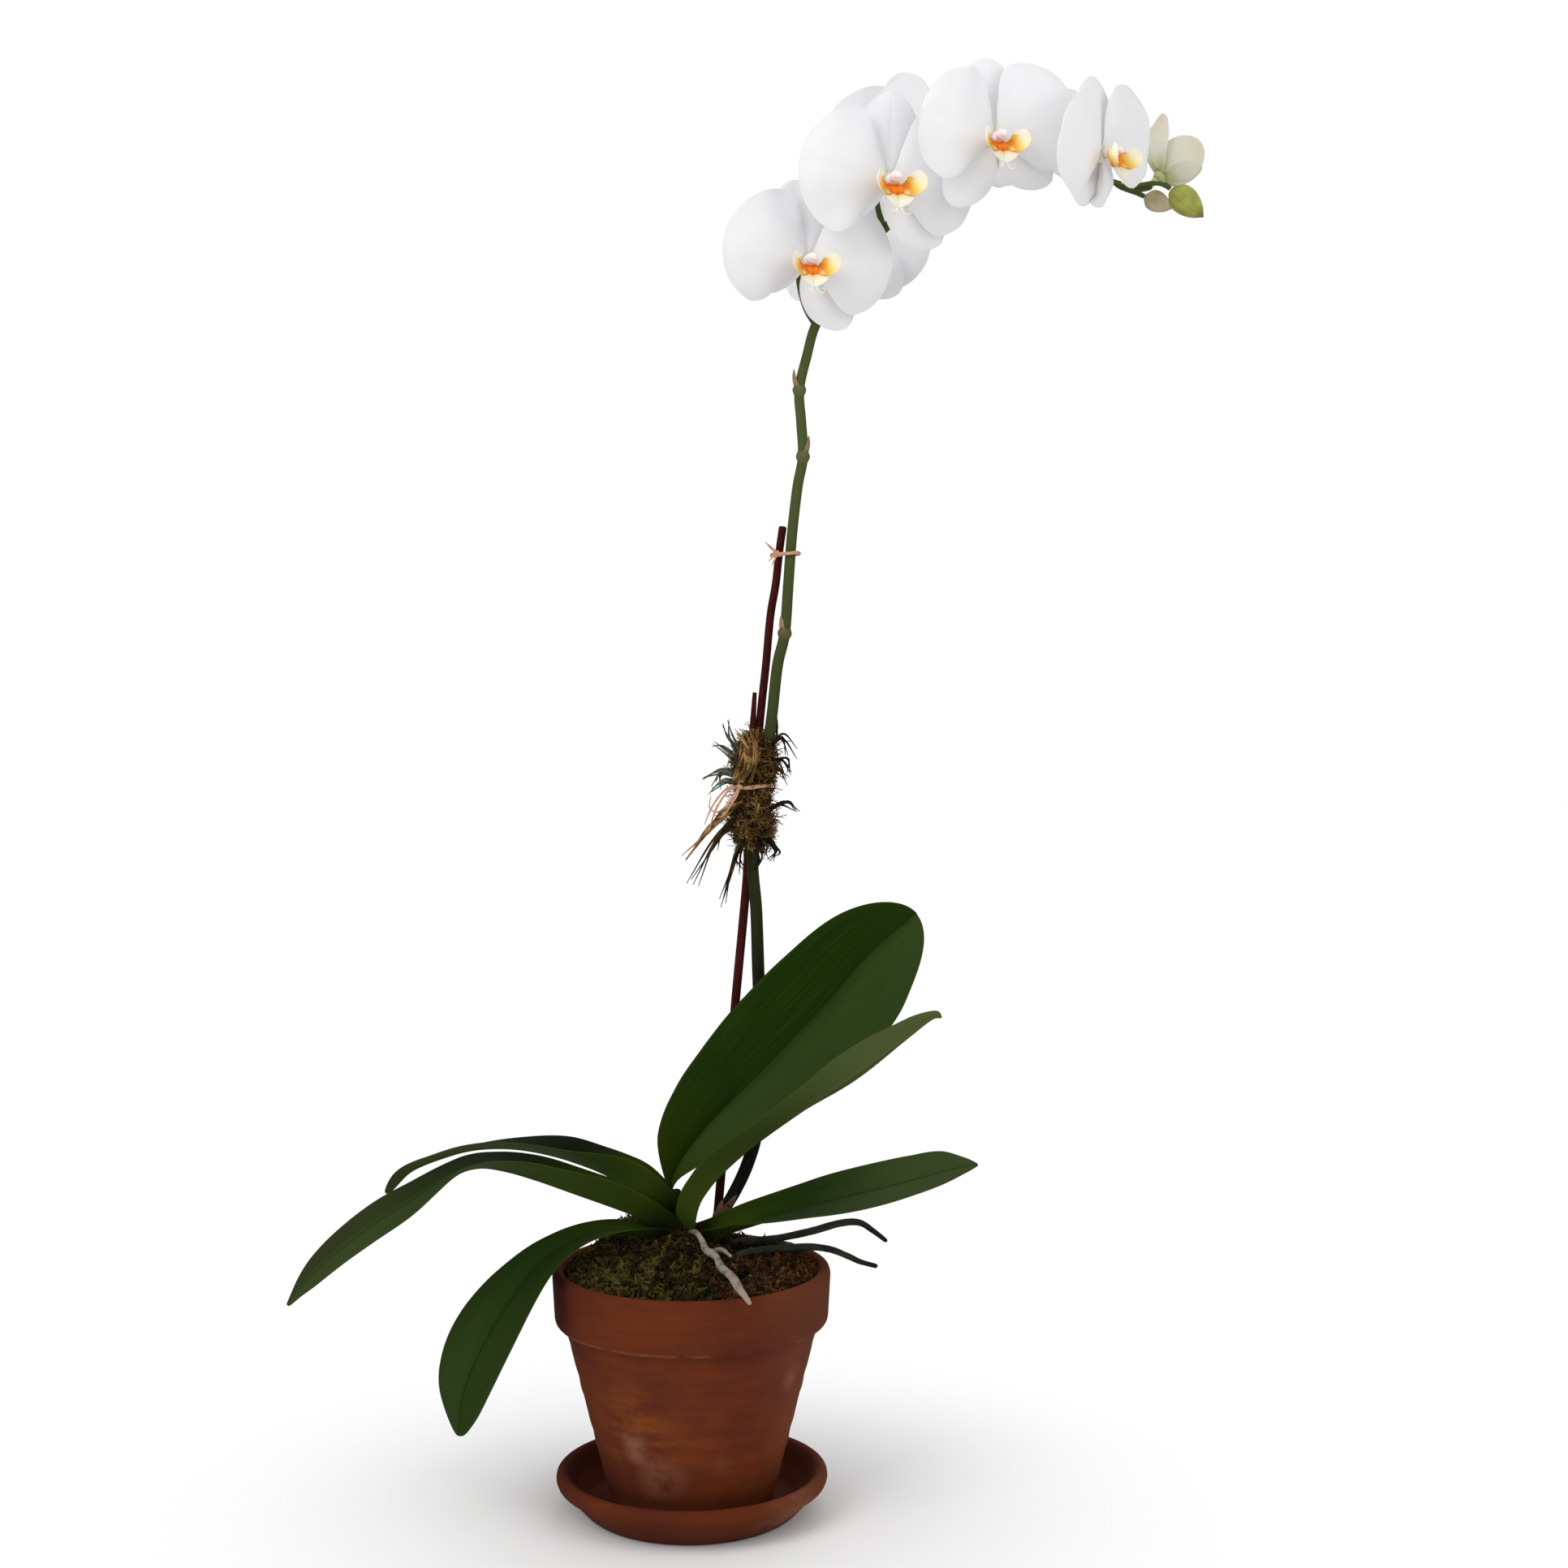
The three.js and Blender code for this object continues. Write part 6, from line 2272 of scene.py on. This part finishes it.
    def build(self) -> None:
        """Makes and dresses the sticks, the bundle and the ties."""
        dressed("long_stake", self.stake.shell(), self.stake_red, "stake")
        dressed("short_stake", self.stub.shell(), self.stake_red, "stake_short")
        dressed("dry_moss_bundle", self.bundle(), self.dry_moss, "moss_bundle")
        dressed("raffia_on_bundle", self.bundle_tie.shell(), self.raffia, "tie_bundle")
        dressed("raffia_on_top", self.top_tie.shell(), self.raffia, "tie_top")


# ---------- studio ----------


@dataclass(frozen=True)
class Bark(Finish):
    """Chipped bark of the potting mix."""

    def paint(self, graph: Paint) -> None:
        """Builds the node graph.

        Args:
            graph: The empty graph.
        """
        chips = graph.cells(140)
        shade = graph.noise(90, 4)
        graph.colour = graph.mix(shade.step(0.3, 0.7), rgb(58, 40, 26), rgb(92, 64, 40))
        graph.lay(chips.step(0.3, 0.8) * 0.7, rgb(30, 20, 12))
        graph.finish(0.9, chips * -1 + shade * 0.4, 0.002, Specular_IOR_Level=0.2)


@dataclass
class Studio:
    """The camera, the pale floor and the soft light.

    Attributes:
        camera_at: Place of the camera in metres.
        dip: How far the camera looks down, in degrees.
        lens: Its focal length in millimetres.
        sensor: Width of its sensor in millimetres.
        lamps: Place, size and power of each soft lamp.
        aim: What the lamps point at.
        sky: Strength of the world's light from the front, and how much weaker it is from behind.
        reach: Radius of the floor in metres.
        fade: Distances from the middle between which the floor fades away.
    """

    camera_at: Vec = (0.0516, -1.386, 0.505)
    dip: float = 4
    lens: float = 57.9
    sensor: float = 36
    lamps: tuple[tuple[Vec, float, float], ...] = (
        ((-1.5, -1.7, 1.9), 1.4, 27.0), ((1.8, -1.2, 1.3), 1.2, 7.0), ((0.4, 1.8, 1.8), 1.6, 7.0),
    )
    aim: Vec = (0.05, 0.0, 0.4)
    sky: tuple[float, float] = (0.78, 0.4)
    reach: float = 3
    fade: tuple[float, float] = (0.05, 0.32)

    def build(self) -> None:
        """Makes the camera, the floor, the lamps and the world."""
        scene = bpy.context.scene
        camera = bpy.data.objects.new("camera", bpy.data.cameras.new("camera"))
        camera.data.lens = self.lens
        camera.data.sensor_width = self.sensor
        camera.location = self.camera_at
        camera.rotation_euler = (math.radians(90 - self.dip), 0, 0)
        scene.collection.objects.link(camera)
        scene.camera = camera
        for number, lamp in enumerate(self.lamps, start=1):
            self.add_lamp(f"lamp_{number}", *lamp)
        self.add_floor()
        world = bpy.data.worlds.new("pale_world")
        world.use_nodes = True
        graph = Graph(world.node_tree)
        seen = graph.value("ShaderNodeLightPath", {}, {}, "Is Camera Ray")
        way = graph.node("ShaderNodeTexCoord").outputs["Generated"]
        behind = graph.value("ShaderNodeSeparateXYZ", {}, {0: way}, 1).step(-0.3, 0.6)
        lit = self.sky[0] - behind * self.sky[1]
        strength = seen * (1 - lit) + lit
        sockets = {"Color": rgb(255, 255, 255), "Strength": strength}
        light = graph.value("ShaderNodeBackground", {}, sockets)
        graph.node("ShaderNodeOutputWorld", {}, {"Surface": light})
        scene.world = world
        scene.view_settings.view_transform = "Standard"

    def add_lamp(self, name: str, at: Vec, size: float, power: float) -> None:
        """Adds a soft area lamp.

        Args:
            name: Its name.
            at: Its place in metres.
            size: The length of its side in metres.
            power: Its power in watts.
        """
        data = bpy.data.lights.new(name, "AREA")
        data.shape = "SQUARE"
        data.size = size
        data.energy = power
        lamp = bpy.data.objects.new(name, data)
        lamp.location = at
        back = unit(np.array(at) - np.array(self.aim))
        lamp.rotation_euler = (math.acos(float(back[2])), 0, math.atan2(float(back[0]), -float(back[1])))
        bpy.context.scene.collection.objects.link(lamp)

    def add_floor(self) -> None:
        """Adds a pale round floor that fades into the background."""
        angle = circle(64)
        rim = np.stack([np.cos(angle), np.sin(angle), np.zeros(len(angle))], axis=-1)
        floor = Shell(rim * self.reach / MM, [tuple(range(len(angle)))]).made("pale_floor")
        paint = bpy.data.materials.new("pale_floor")
        graph = Paint(paint)
        x, y, _ = graph.axes()
        away = (x * x + y * y) ** 0.5
        pale = graph.mix(graph.noise(400, 3), rgb(252, 252, 252), rgb(249, 249, 249))
        surface = graph.value("ShaderNodeBsdfDiffuse", {}, {"Color": pale})
        clear = graph.value("ShaderNodeBsdfTransparent", {}, {})
        faded = graph.value("ShaderNodeMixShader", {}, {0: away.step(*self.fade), 1: surface, 2: clear})
        graph.node("ShaderNodeOutputMaterial", {}, {"Surface": faded})
        floor.data.materials.append(paint)


def dress_mix() -> None:
    """Gives the potting mix its bark finish."""
    bark = Bark("bark_mix", "bark_mix").material()
    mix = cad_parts["potting_mix"]
    for place in mix.material_slots:
        place.material = bark
    log.info("potting_mix: %d slots", len(mix.material_slots))


def main() -> None:
    """Builds every piece and the studio in order."""
    logging.basicConfig(level=logging.INFO, format="%(message)s", force=True)
    Studio().build()
    ClayWare().build()
    dress_mix()
    MossCover().build()
    Foliage().build()
    AerialRoots().build()
    FlowerSpike().build()
    Supports().build()


if __name__ == "__main__":
    main()
